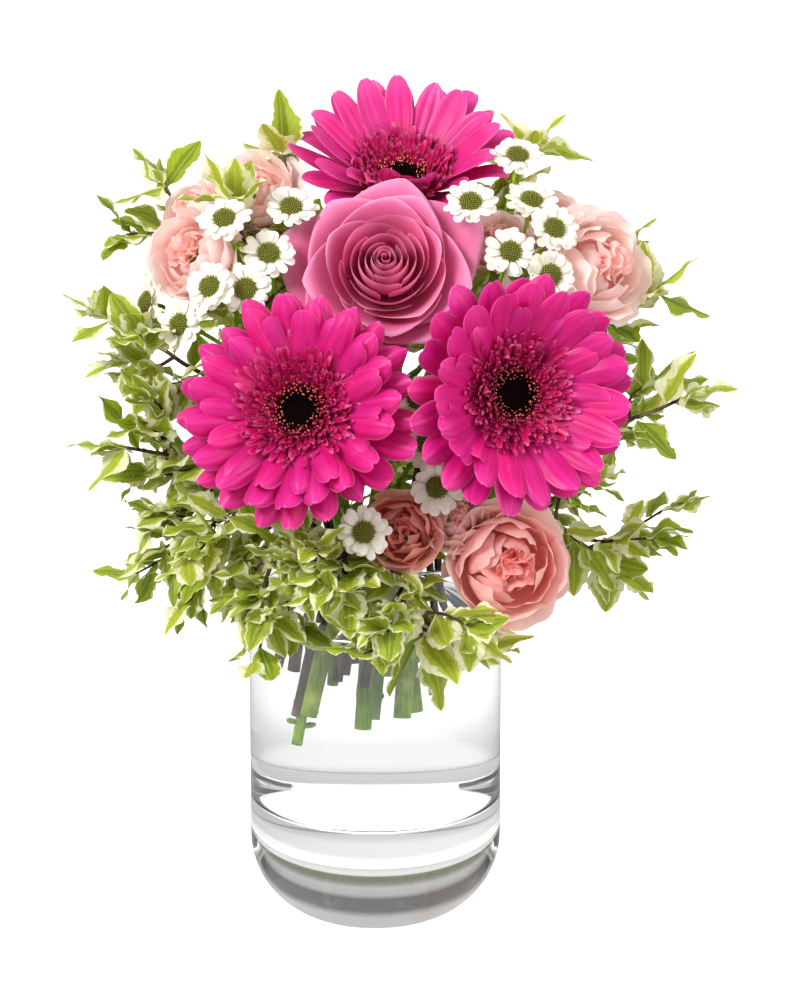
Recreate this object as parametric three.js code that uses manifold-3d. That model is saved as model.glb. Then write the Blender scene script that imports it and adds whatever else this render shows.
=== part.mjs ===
// Gerberas, a rose, spray carnations and small daisies with variegated foliage,
// standing in a filled glass cylinder. Millimetres, +Z up, origin in the middle
// of the glass's foot. The front of the bunch faces -Y.
import * as THREE from 'three';
import { mergeVertices } from 'three/addons/utils/BufferGeometryUtils.js';
import Module from 'manifold-3d';

const wasm = await Module();
wasm.setup();

// Driving dimensions

const glass = {
  radius: 60, wall: 5.5, height: 186, floor: 57, footFillet: 40, floorFillet: 8, sides: 28,
};
const waterLevel = 152;
const gap = 0.4; // clear space between neighbouring pieces
const neck = { height: 196, radius: 29, slots: 32 }; // where the stems are gathered
const splay = { scale: 1.5, turn: -0.5 }; // how the stems open and turn below the neck

const colours = {
  glass: 0xe8eeee, water: 0xf2f7f6, magenta: 0xc81e7c, eye: 0x1e0d12, stem: 0x8aa552, rose: 0xd67793,
  palePink: 0xf3c3bb, salmon: 0xee9c90, daisy: 0xf2f2e6, leaf: 0xa9bf4e, carnationGreen: 0x8fa887,
};

// Azimuth turns the face to the right, elevation lifts it from level to straight up
const gerberas = [
  { name: 'left', centre: [-33, -84, 271], azimuth: -14, elevation: 28, radius: 60, cup: 20, seed: 11 },
  { name: 'right', centre: [62, -80, 278], azimuth: 22, elevation: 14, radius: 60, cup: 26, seed: 23 },
  { name: 'top', centre: [13, 24, 353], azimuth: 0, elevation: 62, radius: 61, cup: 34, seed: 37 },
];
const rose = { centre: [5, -44, 330], azimuth: 0, elevation: 34 };
const carnationSprays = [
  { name: 'left', cut: 118, via: [-38, 4, 262], blooms: [
    { centre: [-84, -26, 331], azimuth: -35, elevation: 30, radius: 20, colour: 'palePink' },
    { centre: [-56, 12, 353], azimuth: -12, elevation: 48, radius: 19, colour: 'palePink' },
    { centre: [-86, 12, 344], azimuth: -50, elevation: 45, radius: 14, colour: 'palePink' }] },
  { name: 'right', cut: 114, via: [48, 8, 262], blooms: [
    { centre: [106, -12, 321], azimuth: 45, elevation: 20, radius: 24, colour: 'palePink' },
    { centre: [84, 12, 337], azimuth: 15, elevation: 50, radius: 16, colour: 'palePink' },
    { centre: [58, -12, 334], azimuth: 5, elevation: 50, radius: 14, colour: 'palePink' }] },
  { name: 'low', cut: 108, via: [26, -40, 205], blooms: [
    { centre: [62, -74, 196], azimuth: 16, elevation: 14, radius: 25, colour: 'palePink' },
    { centre: [12, -74, 212], azimuth: -6, elevation: 20, radius: 16, colour: 'salmon' },
    { centre: [38, -66, 217], azimuth: 6, elevation: 36, radius: 14, colour: 'palePink' }] },
  { name: 'back', cut: 122, via: [6, 34, 250], blooms: [
    { centre: [-30, 82, 290], azimuth: 196, elevation: 34, radius: 21, colour: 'palePink' },
    { centre: [48, 78, 300], azimuth: 160, elevation: 40, radius: 22, colour: 'palePink' }] },
];
const daisySprays = [
  { name: 'left', cut: 88, via: [-34, -22, 262], heads: [
    [-88, -44, 301, -40, 20], [-76, -44, 318, -30, 30], [-58, -46, 318, -10, 25], [-48, -36, 332, 0, 40],
    [-66, -32, 341, -15, 50], [-104, -22, 306, -60, 20], [-38, -20, 350, 0, 55]] },
  { name: 'right', cut: 122, via: [42, -14, 262], heads: [
    [60, 2, 362, 10, 60], [44, -18, 352, 0, 50], [82, -24, 341, 25, 40], [80, -34, 322, 20, 12],
    [72, -10, 351, 20, 60], [62, -32, 332, 10, 34]] },
  { name: 'centre', cut: 124, via: [12, -34, 225], heads: [
    [24, -62, 250, 0, 25], [28, -70, 232, 5, 12], [20, -54, 266, 0, 40], [-4, -84, 214, -5, 20]] },
  { name: 'back', cut: 126, via: [-8, 46, 240], heads: [
    [8, 84, 318, 180, 45], [-58, 76, 318, 205, 40], [14, 92, 280, 180, 20]] },
];
// Each leafy branch runs from its cut end in the water over the rim to its tip
const branches = [
  { name: 'left_upper', cut: 122, via: [-70, 2, 262], tip: [-124, -4, 294], leaves: 7 },
  { name: 'left_crown', cut: 130, via: [-66, 34, 290], tip: [-98, 26, 350], leaves: 7 },
  { name: 'left_middle', cut: 126, via: [-72, -12, 226], tip: [-116, -12, 234], leaves: 7 },
  { name: 'left_low', cut: 106, via: [-68, -30, 208], tip: [-96, -34, 192], leaves: 7 },
  { name: 'front_left', cut: 124, via: [-36, -64, 198], tip: [-52, -78, 180], leaves: 7 },
  { name: 'front_middle', cut: 130, via: [-14, -68, 200], tip: [-12, -84, 186], leaves: 6 },
  { name: 'front_right', cut: 126, via: [8, -68, 198], tip: [24, -80, 158], leaves: 7 },
  { name: 'right_low', cut: 122, via: [74, -20, 206], tip: [112, -16, 178], leaves: 7 },
  { name: 'right_middle', cut: 126, via: [88, -4, 236], tip: [144, -4, 254], leaves: 7 },
  { name: 'right_upper', cut: 132, via: [90, 22, 266], tip: [130, 8, 304], leaves: 7 },
  { name: 'top_left', cut: 136, via: [-34, 10, 300], tip: [-42, 26, 366], leaves: 6 },
  { name: 'top_right', cut: 134, via: [44, 34, 310], tip: [74, 34, 364], leaves: 7 },
  { name: 'between', cut: 136, via: [-58, -14, 290], tip: [-66, -16, 352], leaves: 5 },
  { name: 'back_left', cut: 124, via: [-56, 60, 250], tip: [-84, 88, 296], leaves: 7 },
  { name: 'back_right', cut: 128, via: [62, 58, 250], tip: [96, 82, 300], leaves: 7 },
  { name: 'back_low', cut: 126, via: [4, 72, 206], tip: [10, 104, 214], leaves: 7 },
];

// Small helpers

const rad = THREE.MathUtils.degToRad;
const vec = (x, y, z) => new THREE.Vector3(x, y, z);
const point = (values) => new THREE.Vector3(...values);

// A repeatable draw from 0 to 1, so that every build gives the same bunch
function drawFrom(seed) {
  let state = seed * 7919 + 17;
  return () => {
    state = (state * 1664525 + 1013904223) % 4294967296;
    return state / 4294967296;
  };
}

// Local +Z is the way a flower faces, local +Y the upper side of its face
function facing(centre, azimuth, elevation) {
  const a = rad(azimuth);
  const e = rad(elevation);
  const normal = vec(Math.sin(a) * Math.cos(e), -Math.cos(a) * Math.cos(e), Math.sin(e));
  const right = vec(Math.cos(a), Math.sin(a), 0);
  const up = normal.clone().cross(right);
  return new THREE.Matrix4().makeBasis(right, up, normal).setPosition(...centre);
}

// A place round a flower's axis: +X points outwards, lifted
function around(turn, out, rise, lift) {
  return new THREE.Matrix4().makeRotationZ(turn)
    .multiply(new THREE.Matrix4().makeTranslation(out, 0, rise))
    .multiply(new THREE.Matrix4().makeRotationY(-lift));
}

function solidOf(geometry, matrix = new THREE.Matrix4()) {
  const bare = geometry.clone().applyMatrix4(matrix);
  bare.deleteAttribute('normal');
  bare.deleteAttribute('uv');
  const merged = mergeVertices(bare, 1e-4);
  return new wasm.Manifold(new wasm.Mesh({
    numProp: 3,
    vertProperties: new Float32Array(merged.attributes.position.array),
    triVerts: new Uint32Array(merged.index.array),
  }));
}

function geometryOf(solid) {
  const mesh = solid.getMesh();
  const geometry = new THREE.BufferGeometry();
  geometry.setAttribute('position', new THREE.BufferAttribute(new Float32Array(mesh.vertProperties), 3));
  geometry.setIndex(new THREE.BufferAttribute(new Uint32Array(mesh.triVerts), 1));
  geometry.computeVertexNormals();
  return geometry;
}

function lathe(profile, sides) {
  const geometry = new THREE.LatheGeometry(profile.map(([r, z]) => new THREE.Vector2(r, z)), sides);
  return geometry.rotateX(Math.PI / 2);
}

// Points of a quarter round, from one angle to another about a centre
function quarter(centreR, centreZ, radius, from, to, steps) {
  const points = [];
  for (let k = 0; k <= steps; k += 1) {
    const angle = rad(from + (to - from) * k / steps);
    points.push([centreR + radius * Math.cos(angle), centreZ + radius * Math.sin(angle)]);
  }
  return points;
}

function tube(curve, radius, steps, sides = 5) {
  const ring = new THREE.Shape();
  for (let k = 0; k < sides; k += 1) {
    const angle = 2 * Math.PI * k / sides;
    const method = k === 0 ? 'moveTo' : 'lineTo';
    ring[method](radius * Math.cos(angle), radius * Math.sin(angle));
  }
  ring.closePath();
  return new THREE.ExtrudeGeometry(ring, { steps, extrudePath: curve, bevelEnabled: false });
}

// Where a bent midrib has got to, with its heading there
function ribAt(length, bend, at) {
  if (Math.abs(bend) < 1e-6) return { x: length * at, z: 0, heading: 0 };
  const radius = length / bend;
  const heading = bend * at;
  return { x: radius * Math.sin(heading), z: radius * (1 - Math.cos(heading)), heading };
}

// A leaf or petal along +X. Each station is [place, left half width, right half width,
// left rise, right rise]; the faces meet in a fine edge and are split alike.
function blade(length, stations, thickness, bend = 0, cup = 0, start = 0) {
  const root = ribAt(length, bend, start);
  const points = [root.x, 0, root.z];
  for (const [at, left, right, riseLeft = 0, riseRight = 0] of stations) {
    const rib = ribAt(length, bend, at);
    const upX = -Math.sin(rib.heading);
    const upZ = Math.cos(rib.heading);
    const lifts = [left * cup + riseLeft, thickness / 2, right * cup + riseRight, -thickness / 2];
    const sides = [left, 0, -right, 0];
    for (let k = 0; k < 4; k += 1) {
      points.push(rib.x + upX * lifts[k], sides[k], rib.z + upZ * lifts[k]);
    }
  }
  const tip = ribAt(length, bend, 1);
  points.push(tip.x, 0, tip.z);
  const last = stations.length * 4 + 1;
  const faces = [];
  for (let i = 0; i < 4; i += 1) {
    const j = (i + 1) % 4;
    faces.push(0, 1 + j, 1 + i);
    for (let s = 0; s < stations.length - 1; s += 1) {
      const a = 1 + 4 * s;
      const b = a + 4;
      if (i < 2) faces.push(a + i, a + j, b + j, a + i, b + j, b + i);
      else faces.push(a + i, a + j, b + i, a + j, b + j, b + i);
    }
    faces.push(last, last - 4 + i, last - 4 + j);
  }
  const geometry = new THREE.BufferGeometry();
  geometry.setAttribute('position', new THREE.Float32BufferAttribute(points, 3));
  geometry.setIndex(faces);
  return geometry;
}

// A broad petal from rows of points: only the points inside the rim are doubled
function sheet(rows, thickness) {
  const count = rows.length;
  const width = rows[0].length;
  const points = [];
  const upper = [];
  const lower = [];
  for (let r = 0; r < count; r += 1) {
    upper.push([]);
    lower.push([]);
    for (let c = 0; c < width; c += 1) {
      const middle = rows[r][c];
      const inside = r > 0 && r < count - 1 && c > 0 && c < width - 1;
      const normal = vec(0, 0, 0);
      if (inside) {
        const along = rows[r + 1][c].clone().sub(rows[r - 1][c]);
        const across = rows[r][c + 1].clone().sub(rows[r][c - 1]);
        normal.crossVectors(along, across).normalize().multiplyScalar(thickness / 2);
      }
      upper[r].push(points.length / 3);
      points.push(middle.x + normal.x, middle.y + normal.y, middle.z + normal.z);
      lower[r].push(inside ? points.length / 3 : upper[r][c]);
      if (inside) points.push(middle.x - normal.x, middle.y - normal.y, middle.z - normal.z);
    }
  }
  const faces = [];
  for (let r = 0; r < count - 1; r += 1) {
    for (let c = 0; c < width - 1; c += 1) {
      const quad = (side) => [side[r][c], side[r][c + 1], side[r + 1][c + 1], side[r + 1][c]];
      const [a, b, d, e] = quad(upper);
      const [f, g, h, i] = quad(lower);
      faces.push(a, d, b, a, e, d);
      faces.push(f, g, h, f, h, i);
    }
  }
  const geometry = new THREE.BufferGeometry();
  geometry.setAttribute('position', new THREE.Float32BufferAttribute(points, 3));
  geometry.setIndex(faces);
  return geometry;
}

// Pieces already set, which later ones stay clear of

const placed = [];

function boxesNear(a, b) {
  for (let k = 0; k < 3; k += 1) {
    if (a.min[k] > b.max[k] + gap || b.min[k] > a.max[k] + gap) return false;
  }
  return true;
}

// A head within a spray, "spray/2", may touch its own pieces and the spray's stems
function isClear(solid, owner) {
  const box = solid.boundingBox();
  const stems = owner.split('/')[0];
  for (const other of placed) {
    const own = other.owner === owner || other.owner === stems;
    if (!own && boxesNear(box, other.box) && solid.minGap(other.solid, gap) < gap) return false;
  }
  return true;
}

function setDown(solid, owner) {
  placed.push({ solid, owner, box: solid.boundingBox() });
  return solid;
}

// Tries each way of placing a piece in turn and keeps the first that is clear
function settle(ways, owner, setAs = owner) {
  for (const way of ways) {
    const solid = way();
    if (isClear(solid, owner)) return setDown(solid, setAs);
  }
  return null;
}

// Puts the faces between two cuts across a petal, both sides split alike
function joinCuts(faces, a, b) {
  for (let i = 0; i < 4; i += 1) {
    const j = (i + 1) % 4;
    if (i < 2) faces.push(a[i], a[j], b[j], a[i], b[j], b[i]);
    else faces.push(a[i], a[j], b[i], a[j], b[j], b[i]);
  }
}

// Closes a petal from its last cut to the points of its end
function closeEnd(faces, cut, end) {
  const [left, ridge, right, keel] = cut;
  const last = end.length - 1;
  faces.push(left, ridge, end[0], ridge, right, end[last], keel, left, end[0], right, keel, end[last]);
  for (let n = 0; n < last; n += 1) {
    faces.push(ridge, end[n + 1], end[n], keel, end[n], end[n + 1]);
  }
}

function meshOf(points, faces) {
  const geometry = new THREE.BufferGeometry();
  geometry.setFromPoints(points);
  geometry.setIndex(faces);
  return geometry;
}

// The cuts and end of one petal. Cuts are [place, half width], ends [place, side, height].
function petalShape(ring, turn, lift, size) {
  const matrix = around(turn, ring.root, ring.rise, rad(lift));
  const place = (at, side, height) => {
    const rib = ribAt(ring.length * size, rad(ring.bend), at);
    const x = rib.x - Math.sin(rib.heading) * height;
    const z = rib.z + Math.cos(rib.heading) * height;
    return vec(x, side, z).applyMatrix4(matrix);
  };
  const cuts = ring.cuts.map(([at, half]) => [
    place(at, half, half * ring.cup), place(at, 0, ring.thick / 2),
    place(at, -half, half * ring.cup), place(at, 0, -ring.thick / 2),
  ]);
  const end = ring.end.map(([at, side, height]) => place(at, side, height));
  const start = ring.cuts.length ? ring.cuts[0][0] * 0.5 : 0.35;
  const root = [place(start, 1, 0), place(start, 0, 0.4), place(start, -1, 0), place(start, 0, -0.4)];
  return { cuts, end, root };
}

// The free part of a petal by itself, to find whether it is clear
function petalSolid({ cuts, end, root }) {
  const sections = [root, ...cuts];
  const points = [...sections.flat(), ...end];
  const faces = [0, 2, 1, 0, 3, 2];
  const ids = sections.map((_, n) => [0, 1, 2, 3].map((k) => 4 * n + k));
  for (let n = 0; n + 1 < ids.length; n += 1) joinCuts(faces, ids[n], ids[n + 1]);
  closeEnd(faces, ids[ids.length - 1], end.map((_, n) => 4 * sections.length + n));
  return meshOf(points, faces);
}

// A flower head in one skin: rings of petals, each half a step round from the one below
function flowerHead(count, rings, bottom, top) {
  const points = [vec(0, 0, bottom)];
  const faces = [];
  const step = 2 * Math.PI / count;
  const add = (position) => points.push(position) - 1;
  const polar = (radius, turn, height) => add(vec(radius * Math.cos(turn), radius * Math.sin(turn), height));
  let below = null;
  for (const [order, ring] of rings.entries()) {
    const start = step * order / 2;
    const corners = [];
    for (let k = 0; k < count; k += 1) corners.push(polar(ring.root, start + (k + 0.5) * step, ring.rise));
    const upper = [];
    const lower = [];
    for (let k = 0; k < count; k += 1) {
      const ridge = polar(ring.root, start + k * step, ring.rise + ring.thick / 2);
      const keel = polar(ring.root, start + k * step, ring.rise - ring.thick / 2);
      upper.push(ridge, corners[k]);
      lower.push(keel, corners[k]);
      let cut = [corners[k], ridge, corners[(k + count - 1) % count], keel];
      const petal = ring.petals[k];
      if (!petal) {
        faces.push(cut[0], cut[1], cut[3], cut[1], cut[2], cut[3]);
        continue;
      }
      for (const section of petal.cuts) {
        const next = section.map(add);
        joinCuts(faces, cut, next);
        cut = next;
      }
      closeEnd(faces, cut, petal.end.map(add));
    }
    const size = 2 * count;
    for (let j = 0; j < size; j += 1) {
      const next = (j + 1) % size;
      if (below) {
        const [a, b] = [below[(j + 1) % size], below[(j + 2) % size]];
        faces.push(a, b, lower[next], a, lower[next], lower[j]);
      } else faces.push(0, lower[next], lower[j]);
    }
    below = upper;
  }
  const peak = add(vec(0, 0, top));
  for (let j = 0; j < 2 * count; j += 1) faces.push(peak, below[j], below[(j + 1) % (2 * count)]);
  return meshOf(points, faces);
}

// Chooses the lift and size of each petal so that it is clear of all that is set,
// then makes the head round them
function bloomHead(owner, place, count, rings, bottom, top, draw) {
  const step = 2 * Math.PI / count;
  const below = [];
  for (const [order, ring] of rings.entries()) {
    const fresh = [];
    ring.petals = [];
    for (let k = 0; k < count; k += 1) {
      const turn = step * (k + order / 2);
      const size = 1 - ring.vary * draw();
      let chosen = null;
      for (const smaller of [1, 0.86, 0.72, 0.56]) {
        for (const more of [0, 8, -8, 16, -16, 26, -26, 38, 50, 62]) {
          if (chosen) break;
          const shape = petalShape(ring, turn, ring.lift + more, size * smaller);
          const solid = solidOf(petalSolid(shape), place);
          const fits = below.every((other) => solid.minGap(other, 0.2) >= 0.2);
          if (fits && isClear(solid, owner)) chosen = { shape, solid };
        }
      }
      ring.petals.push(chosen ? chosen.shape : null);
      if (chosen) fresh.push(setDown(chosen.solid, owner));
    }
    below.push(...fresh);
  }
  const solid = solidOf(flowerHead(count, rings, bottom, top), place);
  return setDown(solid, owner);
}

const bunch = new THREE.Group();

function addNode(name, solid, material) {
  const mesh = new THREE.Mesh(geometryOf(solid), material);
  mesh.name = name;
  bunch.add(mesh);
}

function fuse(pieces) {
  return wasm.Manifold.union(pieces.filter((piece) => piece !== null)).simplify(0.12);
}

function finish(colour, roughness, metalness = 0) {
  return new THREE.MeshStandardMaterial({ color: colours[colour], roughness, metalness });
}

// The glass

function glassSolid() {
  const inner = glass.radius - glass.wall;
  const rimRadius = glass.wall / 2;
  const profile = [
    [0, 0],
    ...quarter(glass.radius - glass.footFillet, glass.footFillet, glass.footFillet, -90, 0, 5),
    ...quarter(glass.radius - rimRadius, glass.height - rimRadius, rimRadius, 0, 180, 3),
    ...quarter(inner - glass.floorFillet, glass.floor + glass.floorFillet, glass.floorFillet, 0, -90, 3),
    [0, glass.floor],
  ];
  return solidOf(lathe(profile, glass.sides));
}

// The stems: every one is given a place in the neck, and opens out below it

const neckPlaces = [];
for (let k = 0; k < neck.slots; k += 1) {
  const angle = k * 2.39996;
  const radius = neck.radius * Math.sqrt((k + 0.5) / neck.slots);
  neckPlaces.push({ x: radius * Math.cos(angle), y: radius * Math.sin(angle), free: true });
}

function takeNeckPlace(target) {
  const reach = neck.radius / 105;
  let best = null;
  let bestDistance = Infinity;
  for (const place of neckPlaces.filter((p) => p.free)) {
    const distance = Math.hypot(place.x - target.x * reach, place.y - target.y * reach);
    if (distance < bestDistance) {
      best = place;
      bestDistance = distance;
    }
  }
  best.free = false;
  return vec(best.x, best.y, neck.height);
}

// The cut end of a stem, by the same turn and scale for all, so that none cross
function cutEnd(atNeck, height) {
  const share = (neck.height - height) / 100;
  const scale = 1 + (splay.scale - 1) * share;
  const turn = splay.turn * share;
  const x = scale * (atNeck.x * Math.cos(turn) - atNeck.y * Math.sin(turn));
  const y = scale * (atNeck.x * Math.sin(turn) + atNeck.y * Math.cos(turn));
  return vec(x, y, height);
}

const holes = []; // what the water leaves free round each stem

// Straight below the neck, then a curve through the points above it
function stemCurve(atNeck, endHeight, upper) {
  const curve = new THREE.CurvePath();
  curve.add(new THREE.LineCurve3(cutEnd(atNeck, endHeight), atNeck));
  curve.add(new THREE.CatmullRomCurve3([atNeck, ...upper], false, 'centripetal'));
  return curve;
}

function addHole(curve, radius) {
  const sides = 5;
  const wide = (radius + gap) / Math.cos(Math.PI / sides);
  const [end, top] = [curve.getPoint(0), curve.curves[0].v2];
  const downwards = end.clone().sub(top).normalize();
  const line = new THREE.LineCurve3(end.clone().addScaledVector(downwards, gap), top);
  holes.push(solidOf(tube(line, wide, 1, sides)));
}

// One stem from the water to where it ends above, moved aside until it is clear
function runStem(owner, target, approach, radius, endHeight, via = null, bend = 0) {
  const atNeck = takeNeckPlace(via ?? target);
  const shifts = [[0, 0], [6, 0], [-6, 0], [0, 6], [0, -6], [10, 8], [-10, 8], [10, -8], [-10, -8],
    [0, 14], [0, -14], [14, 0], [-14, 0], [20, 10], [-20, 10], [20, -10], [-20, -10],
    [0, 24], [28, 0], [-28, 0], [26, 20], [-26, 20]];
  const middle = via ?? atNeck.clone().lerp(approach, 0.5);
  for (const [dx, dy] of shifts) {
    const swung = vec(approach.x + dx * bend, approach.y + dy * bend, approach.z);
    const upper = [vec(middle.x + dx, middle.y + dy, middle.z), swung, target];
    const curve = stemCurve(atNeck, endHeight, upper);
    const steps = Math.max(5, Math.round(curve.getLength() / 34));
    const sides = radius > 3 ? 6 : radius < 1.6 ? 3 : 4;
    const solid = solidOf(tube(curve, radius, steps, sides));
    if (isClear(solid, owner)) {
      setDown(solid, owner);
      addHole(curve, radius);
      return { solid, spine: curve.getSpacedPoints(steps) };
    }
  }
  throw new Error(`no clear way for ${owner}`);
}

// A place along a row of points, with the way it heads
function onSpine(spine, at) {
  const place = at * (spine.length - 1);
  const n = Math.min(Math.floor(place), spine.length - 2);
  const base = spine[n].clone().lerp(spine[n + 1], place - n);
  const along = spine[n + 1].clone().sub(spine[n]).normalize();
  return { base, along };
}

// A side stem inside its own spray
function sideStem(owner, from, target, approach, radius, sides = 4) {
  const ways = [[0, 0, 0], [0, 0, 8], [5, 0, 0], [-5, 0, 0], [0, 6, 0], [0, -6, 0], [8, 8, 0], [-8, 8, 0],
    [0, 0, -10], [10, 0, 6], [-10, 0, 6], [0, 12, 0], [0, -12, 0]].map(([dx, dy, dz]) => () => {
    const half = from.clone().lerp(approach, 0.5);
    half.add(vec(dx, dy, dz));
    const curve = new THREE.CatmullRomCurve3([from, half, approach, target], false, 'centripetal');
    return solidOf(tube(curve, radius, 3, sides));
  });
  return settle(ways, owner, owner.split('/')[0]);
}

// Gerbera

function gerberaStem(flower, place) {
  const owner = `gerbera_${flower.name}_stem`;
  const at = (z) => vec(0, 0, z).applyMatrix4(place);
  const { solid } = runStem(owner, at(-12), at(-26), 3.6, flower.name === 'top' ? 104 : 110);
  const cupProfile = [[0, -16], [5, -13], [10, -7], [12, -5.5], [0, -5.5]];
  const cup = setDown(solidOf(lathe(cupProfile, 10), place), owner);
  addNode(owner, fuse([solid, cup]), finish('stem', 0.7));
}

function gerberaDisc(flower, place) {
  const owner = `gerbera_${flower.name}_disc`;
  const profile = [[0, 1.5], [8.8, 2.2], [10.6, 6], [8.6, 5.6], [6.2, 3.8], [0, 4.8]];
  const geometry = lathe(profile, 14);
  const position = geometry.attributes.position;
  for (let k = 0; k < position.count; k += 1) {
    const turn = Math.round(14 * Math.atan2(position.getX(k), -position.getY(k)) / (2 * Math.PI));
    if (position.getZ(k) > 5 && turn % 2) position.setZ(k, position.getZ(k) - 1.6);
  }
  addNode(owner, setDown(solidOf(geometry, place), owner), finish('eye', 0.9));
}

function gerberaRays(flower, place) {
  const owner = `gerbera_${flower.name}_rays`;
  const draw = drawFrom(flower.seed);
  const reach = flower.radius - 10.5;
  const rings = [
    { root: 11, rise: -3.6, length: reach, lift: flower.cup - 8, bend: 8, vary: 0.08,
      cuts: [[0.62, 7]], end: [[0.92, 6, 1.8], [1, 0, 0.5], [0.92, -6, 1.8]] },
    { root: 11.5, rise: -1.6, length: reach - 6, lift: flower.cup + 4, bend: 10, vary: 0.1,
      cuts: [[0.6, 6.2]], end: [[0.92, 5.2, 1.6], [1, 0, 0.5], [0.92, -5.2, 1.6]] },
    { root: 11.8, rise: 0.4, length: 19, lift: flower.cup + 20, bend: -10, vary: 0.3,
      cuts: [[0.7, 3]], end: [[1, 0, 0]] },
  ].map((ring) => ({ ...ring, thick: 1.1, cup: 0.3 }));
  const solid = bloomHead(owner, place, 15, rings, -5, 1, draw);
  addNode(owner, solid, finish('magenta', 0.55));
}

// Rose

function roseStem(place) {
  const owner = 'rose_stem';
  const at = (z) => vec(0, 0, z).applyMatrix4(place);
  const { solid } = runStem(owner, at(-30), at(-44), 3.2, 100);
  const cup = lathe([[0, -36], [4.5, -34], [6.5, -28], [5, -24], [0, -24]], 8);
  const pieces = [solid, setDown(solidOf(cup, place), owner)];
  const stations = [[0.2, 3.2, 3.2], [0.6, 2.2, 2.2]];
  for (let k = 0; k < 5; k += 1) {
    const ways = [-18, -34, -50, -66].map((lift) => () => solidOf(
      blade(24, stations, 1.2, rad(-20)),
      place.clone().multiply(around(2 * Math.PI * k / 5, 2.5, -26, rad(lift))),
    ));
    pieces.push(settle(ways, owner));
  }
  addNode(owner, fuse(pieces), finish('stem', 0.7));
}

// One cupped petal: each row is [radius, height, half width in degrees]
function rosePetal(turn, rows, lean) {
  const columns = 4;
  return sheet(rows.map(([radius, height, half, dip = 0]) => {
    const row = [];
    for (let c = 0; c < columns; c += 1) {
      const across = 2 * c / (columns - 1) - 1;
      const angle = turn + rad(half) * across;
      const out = radius + lean * across;
      row.push(vec(out * Math.cos(angle), out * Math.sin(angle), height - dip * across * across));
    }
    return row;
  }), 1.3);
}

function roseBloom(place) {
  const owner = 'rose_bloom';
  const heart = [[0, -23.4], [6, -23.4], [9, -14], [8.2, 2], [5, 8], [0, 6]];
  const pieces = [setDown(solidOf(lathe(heart, 9), place), owner)];
  const layers = [
    { count: 3, start: 0.2, lean: 1.6,
      rows: [[6, -16, 40], [10.5, -6, 62], [11, 4, 58], [9.6, 9.5, 30]] },
    { count: 3, start: 0.9, lean: 1.8,
      rows: [[6, -18, 40], [15.5, -8, 64], [18, 3, 62], [17.5, 10, 28, 1]] },
    { count: 4, start: 0.1, lean: 2.0,
      rows: [[6, -20, 34], [20, -13, 52], [26.5, 0, 50], [28, 7.5, 20, 2]] },
    { count: 4, start: 0.7, lean: 2.2,
      rows: [[6, -21, 36], [24, -17, 52], [34.5, -5, 50], [39, 0, 15, 4]] },
    { count: 5, start: 0.1, lean: 2.2,
      rows: [[6, -22, 30], [26, -21, 42], [39, -11, 42], [47, -12, 10, 5]] },
  ];
  for (const layer of layers) {
    for (let k = 0; k < layer.count; k += 1) {
      const turn = layer.start + 2 * Math.PI * k / layer.count;
      const ways = [[1, 0], [0.93, 1], [0.86, 2], [0.78, 3], [0.7, 4]].map(([closer, higher]) => () => {
        const rows = layer.rows.map(([r, z, half, dip], n) => [
          n ? r * closer : r, z + higher * n, half, dip,
        ]);
        return solidOf(rosePetal(turn, rows, layer.lean), place);
      });
      pieces.push(settle(ways, owner));
    }
  }
  addNode(owner, fuse(pieces), finish('rose', 0.6));
}

// Spray carnations

function carnationBloom(owner, bloom, place, seed) {
  const draw = drawFrom(seed);
  const size = bloom.radius / 20;
  const frill = (reach, side, height) => {
    const sides = [-1, -0.5, 0, 0.5, 1].reverse();
    return sides.map((s, n) => [
      reach * (1 - 0.16 * s * s) * (n % 2 ? 1.07 : 0.95), side * s * size, height * (n % 2 ? 1 : -1) * size,
    ]);
  };
  const rings = [
    { root: 5 * size, rise: 0, length: 16 * size, lift: 12, bend: 24, end: frill(1, 9.4, 1.8) },
    { root: 5.4 * size, rise: 2.6 * size, length: 14.5 * size, lift: 40, bend: 10, end: frill(1, 7.4, 1.8) },
    { root: 4.6 * size, rise: 6 * size, length: 9.5 * size, lift: 66, bend: 0, end: frill(1, 4.6, 1.5) },
  ].slice(0, bloom.radius < 17 ? 2 : 3).map((ring) => ({ ...ring, thick: 1.4, cup: 0, vary: 0.12, cuts: [] }));
  const solid = bloomHead(owner, place, 5, rings, -10, 11 * size, draw);
  addNode(owner, solid, finish(bloom.colour, 0.75));
}

function calyx(place) {
  return solidOf(lathe([[0, -27], [2.6, -26], [4, -10.6], [0, -10.6]], 5), place);
}

function carnationSpray(spray, index) {
  const owner = `carnation_stem_${spray.name}`;
  const fork = point(spray.via);
  const below = fork.clone().add(vec(0, 0, -26));
  const { solid, spine } = runStem(owner, fork, below, 2, spray.cut);
  const pieces = [solid];
  const places = spray.blooms.map((bloom) => facing(bloom.centre, bloom.azimuth, bloom.elevation));
  for (const [k, place] of places.entries()) {
    const at = (z) => vec(0, 0, z).applyMatrix4(place);
    const { base } = onSpine(spine, 0.99 - 0.035 * k);
    pieces.push(setDown(calyx(place), `${owner}/${k}`));
    pieces.push(sideStem(`${owner}/${k}`, base, at(-24), at(-36), 1.5));
  }
  addNode(owner, fuse(pieces), finish('carnationGreen', 0.7));
  for (const [k, bloom] of spray.blooms.entries()) {
    carnationBloom(`carnation_${spray.name}_${k + 1}`, bloom, places[k], 40 + index * 10 + k);
  }
}

// Small daisies, the whole spray in one piece

function daisyHead(owner, place, draw) {
  const ring = { root: 4.8, rise: 0, length: 7.6, lift: 10, bend: 0, thick: 1.0, cup: 0, vary: 0.1,
    cuts: [], end: [[1, 3, 0], [1, -3, 0]] };
  return bloomHead(owner, place, 7, [ring], -3, 4, draw);
}

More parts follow.
